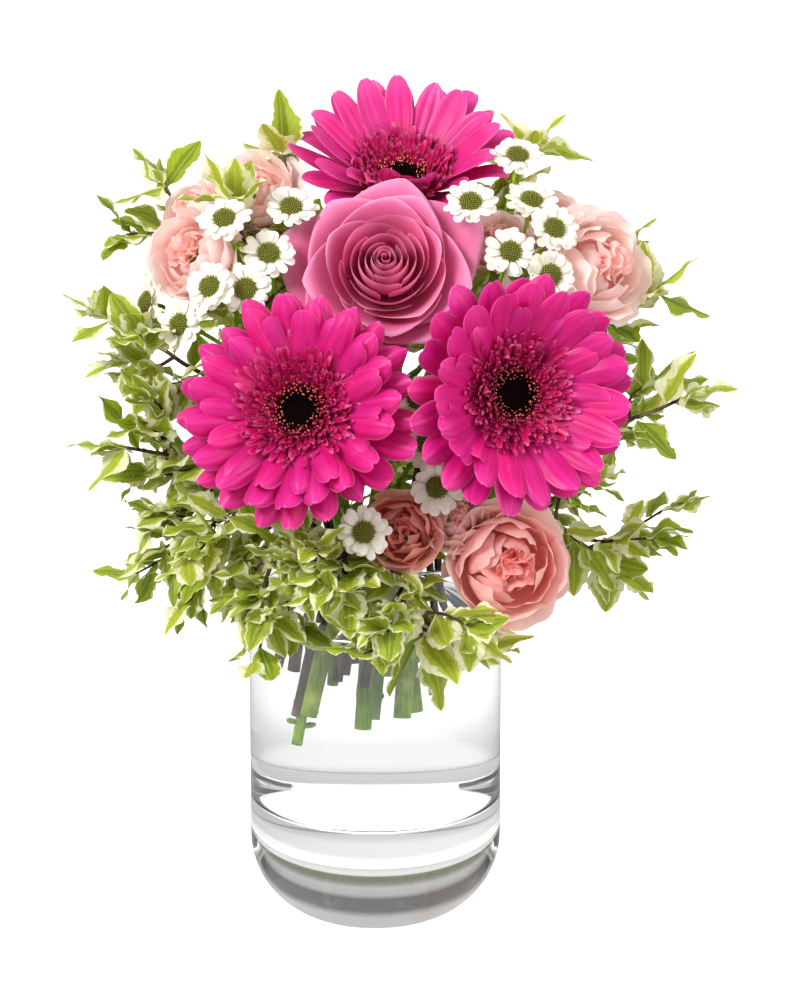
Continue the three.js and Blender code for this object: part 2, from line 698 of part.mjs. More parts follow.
function daisySpray(spray, index) {
  const owner = `daisy_spray_${spray.name}`;
  const draw = drawFrom(70 + index);
  const fork = point(spray.via);
  const { solid, spine } = runStem(owner, fork, fork.clone().add(vec(0, 0, -24)), 2, spray.cut);
  const pieces = [solid];
  for (const [k, [x, y, z, azimuth, elevation]] of spray.heads.entries()) {
    const headOwner = `${owner}/${k}`;
    const { base } = onSpine(spine, 0.995 - 0.03 * k);
    const nudges = [[0, 0, 0], [0, 0, 5], [0, 4, 3], [4, 0, 3], [-4, 0, 3], [0, -4, 5], [0, 0, 10],
      [6, 4, 6], [-6, 4, 6], [0, 8, 6], [0, 0, -6], [0, 8, 12]];
    for (const [right, up, out] of nudges) {
      const place = facing([x, y, z], azimuth, elevation)
        .multiply(new THREE.Matrix4().makeTranslation(right, up, out));
      const room = solidOf(lathe([[0, -3], [9, 0], [0, 4]], 6), place);
      if (!isClear(room, headOwner)) continue;
      const at = (depth) => vec(0, 0, depth).applyMatrix4(place);
      const stalk = sideStem(headOwner, base, at(-1), at(-14), 1.2, 3);
      if (!stalk) continue;
      pieces.push(stalk, daisyHead(headOwner, place, draw));
      break;
    }
  }
  addNode(owner, fuse(pieces), finish('daisy', 0.7));
}

// Variegated foliage

function leafWays(base, along, outward, length, half, draw) {
  const wave = 1.2;
  const stations = [
    [0.22, half * 0.8, half * 0.62, wave, -wave],
    [0.52, half * 0.84, half, -wave, wave],
    [0.8, half * 0.66, half * 0.52, wave * 0.6, -wave * 0.4],
  ];
  const bend = rad(-24 + 30 * draw());
  const turns = [[0, 0], [25, 0], [-25, 0], [0, 25], [0, -25], [50, 10], [-50, 10], [80, 0], [-80, 0],
    [120, 10], [-120, 10], [160, 0]];
  const ways = [];
  for (const size of [1, 0.8]) {
    for (const [spin, pitch] of turns) {
      ways.push(() => {
        const heading = outward.clone().applyAxisAngle(along, rad(spin));
        const forward = heading.multiplyScalar(0.85).addScaledVector(along, 0.6).normalize();
        const side = forward.clone().cross(vec(0, 0, 1)).negate();
        if (side.lengthSq() < 0.01) side.set(1, 0, 0);
        side.normalize();
        forward.applyAxisAngle(side, -rad(pitch));
        const up = forward.clone().cross(side).normalize();
        const matrix = new THREE.Matrix4().makeBasis(forward, side, up).setPosition(base);
        const free = solidOf(blade(length * size, stations, 1.1, bend, 0.3, 0.16), matrix);
        return { whole: solidOf(blade(length * size, stations, 1.1, bend, 0.3), matrix), free };
      });
    }
  }
  return ways;
}

function branch(spec, index) {
  const owner = `branch_${spec.name}`;
  const draw = drawFrom(100 + index);
  const via = point(spec.via);
  const tip = point(spec.tip);
  const frees = [];
  const { solid, spine } = runStem(owner, tip, via.clone().lerp(tip, 0.55), 1.5, spec.cut, via, 0.6);
  const pieces = [solid];
  for (let k = 0; k < spec.leaves; k += 1) {
    const terminal = k < 4;
    const at = terminal ? 0.995 - 0.006 * k : 0.96 - 0.4 * (k - 3) / (spec.leaves - 3);
    const { base, along } = onSpine(spine, at);
    const start = Math.abs(along.z) > 0.9 ? vec(1, 0, 0) : vec(0, 0, 1);
    const outward = start.cross(along).normalize().applyAxisAngle(along, k * 2.39996 + draw());
    if (terminal && k === 0) outward.copy(along);
    const length = 25 + 7 * draw();
    const leaf = leafWays(base, along, outward, length, length * 0.24, draw)
      .map((way) => way())
      .find(({ whole, free }) => isClear(whole, owner)
        && frees.every((other) => free.minGap(other, 0.2) >= 0.2));
    if (!leaf) continue;
    pieces.push(setDown(leaf.whole, owner));
    frees.push(leaf.free);
  }
  addNode(owner, fuse(pieces), finish('leaf', 0.6));
}

// Making the bunch: the glass and the big blooms first, then what fills between

const glassBody = setDown(glassSolid(), 'vase');
addNode('vase', glassBody, finish('glass', 0.05));

const gerberaPlaces = gerberas.map((flower) => facing(flower.centre, flower.azimuth, flower.elevation));
const rosePlace = facing(rose.centre, rose.azimuth, rose.elevation);
gerberas.forEach((flower, k) => gerberaStem(flower, gerberaPlaces[k]));
roseStem(rosePlace);
gerberas.forEach((flower, k) => gerberaDisc(flower, gerberaPlaces[k]));
gerberas.slice(0, 2).forEach((flower, k) => gerberaRays(flower, gerberaPlaces[k]));
roseBloom(rosePlace);
gerberaRays(gerberas[2], gerberaPlaces[2]);
carnationSprays.forEach(carnationSpray);
daisySprays.forEach(daisySpray);
branches.forEach(branch);

// The water, with a plain hole for each stem

function waterSolid() {
  const inner = glass.radius - glass.wall - gap;
  const round = glass.floorFillet - gap;
  const low = glass.floor + gap;
  const profile = [
    [0, low],
    ...quarter(inner - round, low + round, round, -90, 0, 3),
    [inner, waterLevel],
    [0, waterLevel],
  ];
  return solidOf(lathe(profile, glass.sides)).subtract(fuse(holes));
}
addNode('water', waterSolid(), finish('water', 0.05));

export default bunch;
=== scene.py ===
# Gerberas, a rose, spray carnations, small daisies and variegated foliage in a glass of water.
# Lengths in the settings are in millimetres; everything is built in metres.
import math
import numpy as np
import bpy
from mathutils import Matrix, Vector
from mathutils.bvhtree import BVHTree


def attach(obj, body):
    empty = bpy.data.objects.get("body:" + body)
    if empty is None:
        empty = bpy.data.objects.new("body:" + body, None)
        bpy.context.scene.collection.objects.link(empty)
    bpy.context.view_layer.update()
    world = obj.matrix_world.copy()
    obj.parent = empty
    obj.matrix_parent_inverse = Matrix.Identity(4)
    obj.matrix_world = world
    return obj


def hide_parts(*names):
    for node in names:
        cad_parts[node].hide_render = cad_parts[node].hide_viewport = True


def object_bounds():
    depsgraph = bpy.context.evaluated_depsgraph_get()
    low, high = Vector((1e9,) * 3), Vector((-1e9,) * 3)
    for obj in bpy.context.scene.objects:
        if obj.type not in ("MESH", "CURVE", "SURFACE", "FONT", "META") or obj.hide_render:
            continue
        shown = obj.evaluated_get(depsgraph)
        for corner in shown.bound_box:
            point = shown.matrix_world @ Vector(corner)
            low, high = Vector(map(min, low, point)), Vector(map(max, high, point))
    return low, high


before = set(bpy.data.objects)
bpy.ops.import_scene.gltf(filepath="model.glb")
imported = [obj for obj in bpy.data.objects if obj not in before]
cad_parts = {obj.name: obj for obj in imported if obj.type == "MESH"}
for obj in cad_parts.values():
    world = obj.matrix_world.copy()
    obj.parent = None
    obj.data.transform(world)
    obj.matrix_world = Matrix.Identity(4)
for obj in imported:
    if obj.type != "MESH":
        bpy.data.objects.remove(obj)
cadBox = [list(corner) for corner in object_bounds()]
scene = bpy.context.scene
goldenTurn = 2.39996  # radians from one floret of a head to the next
print("frame loaded")


# Small helpers

def smooth(low, high, value):  # an S-shaped step from 0 to 1
    x = np.clip((value - low) / (high - low), 0, 1)
    return x * x * (3 - 2 * x)


def mix(a, b, share):
    return a + (b - a) * share


def unit(v):
    return v / (np.linalg.norm(v) + 1e-12)


def facing(centre, azimuth, elevation):  # +Z is the way a flower looks, +Y its upper side
    a, e = math.radians(azimuth), math.radians(elevation)
    normal = np.array([math.sin(a) * math.cos(e), -math.cos(a) * math.cos(e), math.sin(e)])
    right = np.array([math.cos(a), math.sin(a), 0])
    place = np.eye(4)
    place[:3, 0], place[:3, 1], place[:3, 2] = right, np.cross(normal, right), normal
    place[:3, 3] = np.array(centre)
    return place


def put(place, points):  # local millimetres to row millimetres
    return points @ place[:3, :3].T + place[:3, 3]


def spin(points, angle):  # turns points round +Z
    c, s = math.cos(angle), math.sin(angle)
    return points @ np.array([[c, -s, 0], [s, c, 0], [0, 0, 1]]).T


def onAxis(place, *heights):  # spots on a flower's own axis
    return put(place, np.array([[0, 0, height] for height in heights], float))


def roundTurns(count):
    return np.linspace(0, 2 * math.pi, count, endpoint=False)


def revolved(r, z, sides):  # rings of points round +Z
    turns = roundTurns(sides)
    rings = np.outer(r, np.cos(turns)), np.outer(r, np.sin(turns)), np.outer(z, np.ones(sides))
    return np.stack(rings, axis=-1)


def linked(name, data):
    made = bpy.data.objects.new(name, data)
    scene.collection.objects.link(made)
    return made


def addPiece(name, mesh, material):
    mesh.polygons.foreach_set("use_smooth", np.ones(len(mesh.polygons), bool))
    mesh.materials.append(material)
    made = linked(name, mesh)
    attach(made, "root")
    return made


# Gathers many small sheets and tubes, and turns them into one mesh
class Bunch:
    def __init__(self):
        self.points, self.quads, self.count = [], [], 0
        self.values = {"along": [], "across": [], "tone": [], "deep": []}

    def sheet(self, grid, along, across, tone=0.5, deep=0.5, closed=False):
        rows, columns = grid.shape[:2]
        index = np.arange(rows * columns).reshape(rows, columns) + self.count
        if closed:
            index = np.concatenate([index, index[:, :1]], axis=1)
        a, b, c, d = index[:-1, :-1], index[:-1, 1:], index[1:, 1:], index[1:, :-1]
        self.quads.append(np.stack([a, b, c, d], axis=-1).reshape(-1, 4))
        self.points.append(grid.reshape(-1, 3))
        shape = (rows, columns)
        for key, value in (("along", along), ("across", across), ("tone", tone), ("deep", deep)):
            self.values[key].append(np.broadcast_to(value, shape).reshape(-1))
        self.count += rows * columns

    def tube(self, line, radius, sides=10, tone=0.5, deep=0.5, pinhole=0.03):  # the ends close in
        line = np.asarray(line, float)
        radii = np.broadcast_to(np.asarray(radius, float), (len(line),)).copy()
        along = np.linspace(0, 1, len(line))
        heading = np.gradient(line, axis=0)
        heading /= np.linalg.norm(heading, axis=1)[:, None] + 1e-12
        side = np.cross(heading[0], [0.3, 0.1, 1.0] if abs(heading[0][2]) < 0.9 else [1.0, 0.2, 0])
        rings = []
        turns = roundTurns(sides)
        for k in range(len(line)):
            side = unit(side - heading[k] * np.dot(side, heading[k]))
            other = np.cross(heading[k], side)
            ring = np.cos(turns)[:, None] * side + np.sin(turns)[:, None] * other
            rings.append(line[k] + radii[k] * ring)
        rings = np.array(rings)
        first = line[0] + (rings[0] - line[0]) * pinhole
        last = line[-1] + (rings[-1] - line[-1]) * pinhole
        rings = np.concatenate([first[None], rings, last[None]])
        along = np.concatenate([[0], along, [1]])
        self.sheet(rings, along[:, None], turns[None] / math.pi - 1, tone, deep, closed=True)

    def piece(self, name, material, slot, replaced=()):
        points = np.concatenate(self.points) * 0.001
        quads = np.concatenate(self.quads).astype(np.int32)
        mesh = bpy.data.meshes.new(name)
        mesh.vertices.add(len(points))
        mesh.vertices.foreach_set("co", points.astype(np.float32).ravel())
        mesh.loops.add(quads.size)
        mesh.loops.foreach_set("vertex_index", quads.ravel())
        mesh.polygons.add(len(quads))
        mesh.polygons.foreach_set("loop_start", np.arange(0, quads.size, 4, dtype=np.int32))
        mesh.update(calc_edges=True)
        for key, parts in self.values.items():
            layer = mesh.attributes.new(key, "FLOAT", "POINT")
            layer.data.foreach_set("value", np.concatenate(parts).astype(np.float32))
        made = addPiece(name, mesh, material)
        if replaced:
            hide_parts(*replaced)
        return made


# Reading the solids

def solidOf(name):  # corners in millimetres, with the edges between them
    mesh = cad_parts[name].data
    points = np.empty(len(mesh.vertices) * 3)
    mesh.vertices.foreach_get("co", points)
    points = put(np.array(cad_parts[name].matrix_world), points.reshape(-1, 3))
    edges = np.empty(len(mesh.edges) * 2, np.int32)
    mesh.edges.foreach_get("vertices", edges)
    keys, where = np.unique(np.round(points, 6), axis=0, return_inverse=True)
    pairs = np.unique(np.sort(where.reshape(-1)[edges.reshape(-1, 2)], axis=1), axis=0)
    return keys * 1000, pairs[pairs[:, 0] != pairs[:, 1]]


def turned(heading, tilt, around):  # a heading leaned over by a tilt, to one side
    side = unit(np.cross(heading, [0.31, 0.87, 0.2]))
    other = np.cross(heading, side)
    sideways = side * math.cos(around) + other * math.sin(around)
    return unit(heading * math.cos(tilt) + sideways * math.sin(tilt))


# A walk along a stem looks straight ahead first, then more and more to every side.
# A stem cut across shows at least minCuts edges, and their middle lies near the spot that was looked at.
walk = dict(leans=(0.3, 0.6, 0.95, 1.3), sides=8, minCuts=4, allowedOff=0.42, sureOff=0.25, follow=0.7)
glances = [(0.0, 0.0)]
glances += [(tilt, around) for tilt in walk["leans"] for around in roundTurns(walk["sides"])]


def trace(solid, start, heading, reach, limit, step):  # walks the middle of a stem
    points, pairs = solid
    a, b = points[pairs[:, 0]], points[pairs[:, 1]]
    here, heading = np.array(start, float), unit(np.array(heading, float))
    line = [here.copy()]
    while len(line) * step < limit:
        best = None
        for tilt, around in glances:
            way = turned(heading, tilt, around)
            ahead = here + way * step
            sa, sb = (a - ahead) @ way, (b - ahead) @ way
            cross = sa * sb < 0
            share = (sa[cross] / (sa[cross] - sb[cross]))[:, None]
            hits = a[cross] + (b[cross] - a[cross]) * share
            hits = hits[np.linalg.norm(hits - ahead, axis=1) < reach]
            if len(hits) < walk["minCuts"]:
                continue
            middle = (hits.max(axis=0) + hits.min(axis=0)) / 4 + hits.mean(axis=0) / 2
            off = np.linalg.norm(middle - ahead)
            if off < walk["allowedOff"] * reach and (best is None or off + tilt < best[0]):
                best = (off + tilt, middle)
            if best and tilt == 0 and off < walk["sureOff"] * reach:
                break
        if best is None:
            break
        heading = unit(mix(heading, unit(best[1] - here), walk["follow"]))
        here = best[1]
        line.append(here.copy())
    return np.array(line)


def eased(line, times):  # takes the small steps out of a traced line
    line = np.array(line, float)
    for _ in range(times):
        line[1:-1] = (line[:-2] + 2 * line[1:-1] + line[2:]) / 4
    return line


def lowEnd(points, reach):  # the middle of a stem's cut end
    low = points[np.argmin(points[:, 2])]
    return points[np.linalg.norm(points - low, axis=1) < reach].mean(axis=0)


def upTo(line, spot):  # the part of a line before it comes nearest to a spot
    return line[:max(int(np.argmin(np.linalg.norm(line - spot, axis=1))), 2)]


def curveThrough(points, count, pieces=12):  # an even, smooth line through a few points
    points = np.array(points, float)
    if len(points) == 2:
        return mix(points[0], points[1], np.linspace(0, 1, count)[:, None])
    ends = np.concatenate([[2 * points[0] - points[1]], points, [2 * points[-1] - points[-2]]])
    out = []
    for k in range(1, len(ends) - 2):
        p0, p1, p2, p3 = ends[k - 1:k + 3]
        for t in np.linspace(0, 1, pieces, endpoint=False):
            out.append(0.5 * (2 * p1 + (p2 - p0) * t + (2 * p0 - 5 * p1 + 4 * p2 - p3) * t * t
                              + (3 * p1 - p0 - 3 * p2 + p3) * t ** 3))
    out.append(ends[-2])
    out = np.array(out)
    far = np.concatenate([[0], np.cumsum(np.linalg.norm(np.diff(out, axis=0), axis=1))])
    even = np.linspace(0, far[-1], count)
    return np.stack([np.interp(even, far, out[:, k]) for k in range(3)], axis=1)


# Materials

def colour(r, g, b):  # a colour as seen on a screen, 0 to 255
    out = []
    for value in (r, g, b):
        v = value / 255
        out.append(v / 12.92 if v <= 0.04045 else ((v + 0.055) / 1.055) ** 2.4)
    return (*out, 1)


def feed(tree, socket, value):  # joins a socket to another one, or sets it
    if isinstance(value, bpy.types.NodeSocket):
        tree.links.new(value, socket)
    else:
        socket.default_value = value


def node(tree, kind, inputs=None, **settings):
    made = tree.nodes.new(kind)
    for key, value in settings.items():
        setattr(made, key, value)
    for key, value in (inputs or {}).items():
        feed(tree, made.inputs[key], value)
    return made


def read(tree, name):
    return node(tree, "ShaderNodeAttribute", attribute_name=name).outputs["Fac"]


def sums(tree, how, a, b=0.5, c=0.5):
    made = node(tree, "ShaderNodeMath", operation=how)
    for socket, value in zip(made.inputs, (a, b, c)):
        feed(tree, socket, value)
    return made.outputs[0]


def band(tree, value, low, high, outLow=0.0, outHigh=1.0):  # an S-shaped step
    made = node(tree, "ShaderNodeMapRange", {
        "Value": value, "From Min": low, "From Max": high, "To Min": outLow, "To Max": outHigh},
        interpolation_type="SMOOTHSTEP")
    return made.outputs["Result"]


def blendColours(tree, share, a, b, how="MIX"):
    made = node(tree, "ShaderNodeMix", {0: share, 6: a, 7: b}, data_type="RGBA", blend_type=how)
    return made.outputs[2]


def streaks(tree, across, along, fine, long, detail=2.0):  # noise drawn out along a petal
    tone = read(tree, "tone")
    place = node(tree, "ShaderNodeCombineXYZ", {"X": sums(tree, "MULTIPLY", across, fine),
                                                "Y": sums(tree, "MULTIPLY", along, long),
                                                "Z": sums(tree, "MULTIPLY", tone, 41.0)})
    noise = node(tree, "ShaderNodeTexNoise", {"Vector": place.outputs[0], "Scale": 1.0, "Detail": detail})
    return noise.outputs[0]


def startMaterial(name):
    material = bpy.data.materials.new(name)
    material.use_nodes = True
    tree = material.node_tree
    tree.nodes.clear()
    return material, tree


# A surface with its small relief
def coat(tree, base, roughness, height, bump, depth, specular, sheen=0.0):
    lift = node(tree, "ShaderNodeBump", {"Height": height, "Strength": bump, "Distance": depth})
    face = node(tree, "ShaderNodeBsdfPrincipled", {
        "Base Color": base, "Roughness": roughness, "Normal": lift.outputs[0]})
    face.inputs["Specular IOR Level"].default_value = specular
    face.inputs["Sheen Weight"].default_value = sheen
    return face.outputs[0]


def varied(tree, tone, body, look):  # each petal or floret a little apart in hue and strength
    hue, value = look["hueSpread"], look["valueSpread"]
    return node(tree, "ShaderNodeHueSaturation", {
        "Hue": sums(tree, "MULTIPLY_ADD", tone, hue, 0.5 - hue / 2),
        "Value": sums(tree, "MULTIPLY_ADD", tone, value, 1 - value / 2), "Color": body}).outputs[0]


# The thin living skin of a petal or leaf: some light comes through from behind
def skin(tree, base, through, roughness, height, bump, share, sheen, specular):
    face = coat(tree, base, roughness, height, bump, 0.0004, specular, sheen)
    back = node(tree, "ShaderNodeBsdfTranslucent", {"Color": through})
    both = node(tree, "ShaderNodeMixShader", {0: share, 1: face, 2: back.outputs[0]})
    node(tree, "ShaderNodeOutputMaterial", {"Surface": both.outputs[0]})


def petalMaterial(name, look):
    material, tree = startMaterial(name)
    along, across, tone, deep = (read(tree, key) for key in ("along", "across", "tone", "deep"))
    side = sums(tree, "ABSOLUTE", across)
    body = blendColours(tree, band(tree, along, *look["throatSpan"]), look["throat"], look["body"])
    body = blendColours(tree, band(tree, along, 0.72, 1.0), body, look["tip"])
    # a paler rim along the sides and end: partly the petal's own paler edge, partly painted highlight
    # where the rolled rim catches the light
    rim = sums(tree, "MAXIMUM", band(tree, side, *look["rimSide"]), band(tree, along, *look["rimEnd"]))
    body = blendColours(tree, sums(tree, "MULTIPLY", rim, look["paleEdgeAndHighlightShare"]), body, look["rim"])
    vein = streaks(tree, across, along, look["fine"], 1.6)
    shade = band(tree, vein, 0.35, 0.7)
    body = blendColours(tree, sums(tree, "MULTIPLY", shade, look["veinShare"]), body, look["vein"])
    inside = sums(tree, "MULTIPLY", sums(tree, "SUBTRACT", 1.0, deep), look["deepShare"])
    body = blendColours(tree, inside, body, look["deep"])
    base = varied(tree, tone, body, look)
    through = blendColours(tree, 1.0, base, look["through"], "MULTIPLY")
    rough = band(tree, vein, 0.2, 0.8, look["rough"] - 0.08, look["rough"] + 0.08)
    skin(tree, base, through, rough, vein, look["bump"], look["share"], look["sheen"], look["specular"])
    return material


# In each look, rim is the paler edge colour: partly the petal's own pale edge, partly painted highlight
gerberaLook = dict(
    throat=colour(164, 0, 64), throatSpan=(0.16, 0.6), body=colour(208, 12, 120),
    tip=colour(224, 44, 144), rim=colour(247, 132, 196), rimSide=(0.86, 1.0), rimEnd=(0.97, 1.0),
    paleEdgeAndHighlightShare=0.4, fine=7.0, vein=colour(168, 0, 90), veinShare=0.4, deep=colour(120, 0, 45),
    deepShare=0.7, hueSpread=0.012, valueSpread=0.18, through=(1.0, 0.4, 0.8, 1), rough=0.44, bump=0.5,
    share=0.26, sheen=0.04, specular=0.34)
paleGerberaLook = dict(
    gerberaLook, throat=colour(158, 0, 70), body=colour(216, 34, 134), tip=colour(230, 78, 160),
    rim=colour(250, 160, 210))
floretLook = dict(
    gerberaLook, throat=colour(140, 0, 52), body=colour(208, 14, 116), tip=colour(240, 84, 168),
    rim=colour(255, 176, 220), rimEnd=(0.82, 1.0), paleEdgeAndHighlightShare=0.5, throatSpan=(0.1, 0.7),
    deep=colour(178, 0, 46), rough=0.36, sheen=0.0, share=0.32, through=(1.0, 0.5, 0.9, 1))
# The rose's pale rim is mostly painted highlight along its rolled petal edges
roseLook = dict(
    throat=colour(208, 66, 124), throatSpan=(0.3, 0.95), body=colour(233, 134, 178),
    tip=colour(239, 156, 196), rim=colour(254, 214, 230), rimSide=(0.95, 1.0), rimEnd=(0.955, 1.0),
    paleEdgeAndHighlightShare=0.85, fine=5.0, vein=colour(214, 98, 148), veinShare=0.22, deep=colour(206, 50, 110),
    deepShare=0.5, hueSpread=0.01, valueSpread=0.1, through=(1.0, 0.6, 0.8, 1), rough=0.55, bump=0.25,
    share=0.3, sheen=0.1, specular=0.28)
carnationLook = dict(
    throat=colour(255, 226, 218), throatSpan=(0.2, 0.85), body=colour(255, 241, 238),
    tip=colour(255, 244, 241), rim=colour(255, 250, 248), rimSide=(0.95, 1.0), rimEnd=(0.95, 1.0),
    paleEdgeAndHighlightShare=0.6, fine=6.0, vein=colour(253, 228, 220), veinShare=0.3, deep=colour(252, 196, 186),
    deepShare=0.75, hueSpread=0.015, valueSpread=0.04, through=(1.0, 0.9, 0.87, 1), rough=0.6, bump=0.3,
    share=0.42, sheen=0.05, specular=0.25)
blushLook = dict(
    carnationLook, throat=colour(249, 188, 180), body=colour(254, 218, 213), tip=colour(254, 226, 221),
    vein=colour(250, 202, 196), deep=colour(242, 146, 140), through=(1.0, 0.8, 0.77, 1))
salmonLook = dict(
    blushLook, throat=colour(236, 140, 126), body=colour(246, 182, 170), tip=colour(249, 198, 186),
    deep=colour(220, 104, 92), vein=colour(236, 156, 144), rim=colour(254, 222, 214))
daisyLook = dict(
    throat=colour(214, 216, 170), throatSpan=(0.0, 0.4), body=colour(244, 240, 230),
    tip=colour(248, 246, 240), rim=colour(255, 255, 250), rimSide=(0.9, 1.0), rimEnd=(0.95, 1.0),
    paleEdgeAndHighlightShare=0.4, fine=6.0, vein=colour(226, 220, 204), veinShare=0.35, deep=colour(200, 196, 160),
    deepShare=0.4, hueSpread=0.01, valueSpread=0.06, through=(1.0, 0.98, 0.85, 1), rough=0.6, bump=0.3,
    share=0.3, sheen=0.1, specular=0.3)


def grainMaterial(name, look):  # florets, eyes and stamens: a base, a tip and a fine grain
    material, tree = startMaterial(name)
    along, tone = read(tree, "along"), read(tree, "tone")
    body = blendColours(tree, band(tree, along, *look["span"]), look["base"], look["tip"])
    base = varied(tree, tone, body, look)
    grain = node(tree, "ShaderNodeTexNoise", {"Scale": look["grain"], "Detail": 3.0}).outputs[0]
    rough = band(tree, grain, 0.3, 0.7, look["rough"] - 0.1, look["rough"] + 0.1)
    face = coat(tree, base, rough, grain, 0.4, 0.0003, look["specular"], look["sheen"])
    node(tree, "ShaderNodeOutputMaterial", {"Surface": face})
    return material


stamenMaterial = grainMaterial("stamens", dict(
    base=colour(84, 0, 14), tip=colour(226, 104, 92), span=(0.55, 1.0), hueSpread=0.05, valueSpread=0.5,
    grain=900.0, rough=0.55, sheen=0.0, specular=0.25))
coreMaterial = grainMaterial("gerberaCore", dict(
    base=colour(2, 0, 0), tip=colour(26, 3, 5), span=(0.6, 1.0), hueSpread=0.02, valueSpread=0.6,
    grain=900.0, rough=0.75, sheen=0.0, specular=0.06))
eyeMaterial = grainMaterial("daisyEye", dict(
    base=colour(84, 88, 8), tip=colour(150, 150, 38), span=(0.2, 1.0), hueSpread=0.03, valueSpread=0.35,
    grain=1200.0, rough=0.65, sheen=0.1, specular=0.3))


def stemMaterial(name, look):
    material, tree = startMaterial(name)
    tone, deep = read(tree, "tone"), read(tree, "deep")
    place = node(tree, "ShaderNodeTexCoord").outputs["Object"]
    drawn = node(tree, "ShaderNodeMapping", {"Vector": place, "Scale": (900.0, 900.0, 60.0)})
    fibre, patch = (
        node(tree, "ShaderNodeTexNoise", {"Vector": at, "Scale": scale, "Detail": 3.0}).outputs[0]
        for at, scale in ((drawn.outputs[0], 1.0), (place, 70.0)))
    body = blendColours(tree, band(tree, fibre, 0.35, 0.7), look["dark"], look["body"])
    body = blendColours(tree, band(tree, patch, 0.45, 0.75), body, look["light"])
    body = blendColours(tree, band(tree, deep, 0.6, 1.0), body, look["node"])
    shift = node(tree, "ShaderNodeHueSaturation", {
        "Value": sums(tree, "MULTIPLY_ADD", tone, 0.3, 0.85), "Color": body})
    rough = band(tree, patch, 0.3, 0.7, look["rough"] - 0.08, look["rough"] + 0.1)
    face = coat(tree, shift.outputs[0], rough, fibre, look["bump"], 0.0004, 0.15)
    node(tree, "ShaderNodeOutputMaterial", {"Surface": face})
    return material


greenStem = stemMaterial("greenStem", dict(
    dark=colour(78, 116, 4), body=colour(118, 154, 18), light=colour(156, 184, 46),
    node=colour(100, 134, 14), rough=0.45, bump=0.25))
paleStem = stemMaterial("paleStem", dict(
    dark=colour(88, 116, 18), body=colour(124, 148, 38), light=colour(158, 176, 74),
    node=colour(108, 132, 34), rough=0.5, bump=0.2))
blueStem = stemMaterial("blueStem", dict(
    dark=colour(84, 114, 44), body=colour(116, 144, 66), light=colour(148, 168, 100),
    node=colour(98, 126, 52), rough=0.55, bump=0.2))
twigStem = stemMaterial("twig", dict(
    dark=colour(46, 36, 30), body=colour(78, 62, 52), light=colour(112, 102, 66), node=colour(42, 34, 28),
    rough=0.7, bump=0.5))


def leafMaterial(name):  # a green middle with an uneven cream edge
    material, tree = startMaterial(name)
    along, across, tone, deep = (read(tree, key) for key in ("along", "across", "tone", "deep"))
    side = sums(tree, "ABSOLUTE", across)
    rag = streaks(tree, across, along, 2.2, 5.0, 4.0)
    wide = sums(tree, "MULTIPLY_ADD", rag, 0.95, side)
    wide = sums(tree, "ADD", wide, band(tree, tone, 0.0, 1.0, -0.16, 0.24))
    margin = band(tree, wide, 1.14, 1.2)
    middle = band(tree, sums(tree, "MULTIPLY_ADD", rag, 0.6, side), 0.6, 0.66)
    green = blendColours(tree, tone, colour(118, 142, 10), colour(180, 190, 50))
    light = blendColours(tree, tone, colour(156, 174, 38), colour(208, 214, 100))
    body = blendColours(tree, middle, green, light)
    cream = blendColours(tree, rag, colour(252, 250, 236), colour(236, 234, 178))
    body = blendColours(tree, margin, body, cream)
    rib = band(tree, side, 0.02, 0.07, 1.0, 0.0)
    net = node(tree, "ShaderNodeTexVoronoi", {"Scale": 420.0}, feature="DISTANCE_TO_EDGE")
    body = blendColours(tree, sums(tree, "MULTIPLY", rib, 0.45), body, colour(206, 214, 140))
    slant = sums(tree, "MULTIPLY", side, 16.0)
    slant = sums(tree, "SUBTRACT", sums(tree, "MULTIPLY", along, 44.0), slant)
    ribs = band(tree, sums(tree, "SINE", slant), 0.75, 1.0)
    body = blendColours(tree, sums(tree, "MULTIPLY", ribs, 0.18), body, colour(84, 108, 22))
    height = sums(tree, "MULTIPLY", net.outputs[0], 300.0)
    height = sums(tree, "ADD", sums(tree, "MULTIPLY", ribs, -0.8), height)
    shift = node(tree, "ShaderNodeHueSaturation", {
        "Value": sums(tree, "MULTIPLY_ADD", deep, 0.3, 0.84), "Color": body})
    through = blendColours(tree, 1.0, shift.outputs[0], (0.97, 1.0, 0.4, 1), "MULTIPLY")
    skin(tree, shift.outputs[0], through, 0.4, height, 0.4, 0.32, 0.0, 0.42)
    return material


leafSkin = leafMaterial("variegatedLeaf")
gerberaSkin = petalMaterial("gerberaPetal", gerberaLook)
floretSkin = petalMaterial("gerberaFloret", floretLook)
roseSkin = petalMaterial("rosePetal", roseLook)
paleGerberaSkin = petalMaterial("paleGerberaPetal", paleGerberaLook)
carnationSkin = petalMaterial("carnationPetal", carnationLook)
blushSkin = petalMaterial("blushPetal", blushLook)
salmonSkin = petalMaterial("salmonPetal", salmonLook)
daisySkin = petalMaterial("daisyPetal", daisyLook)


def clearMaterial(name, look):  # clear for the eye, and lamps light what stands inside
    material, tree = startMaterial(name)
    face = node(tree, "ShaderNodeBsdfPrincipled", {
        "Base Color": look["tint"], "Roughness": look["rough"]})
    face.inputs["IOR"].default_value = look["bend"]
    face.inputs["Transmission Weight"].default_value = 1.0
    lampRay = node(tree, "ShaderNodeLightPath").outputs["Is Shadow Ray"]
    passed = node(tree, "ShaderNodeBsdfTransparent", {"Color": look["shade"]})
    both = node(tree, "ShaderNodeMixShader", {0: lampRay, 1: face.outputs[0], 2: passed.outputs[0]})
    node(tree, "ShaderNodeOutputMaterial", {"Surface": both.outputs[0]})
    return material


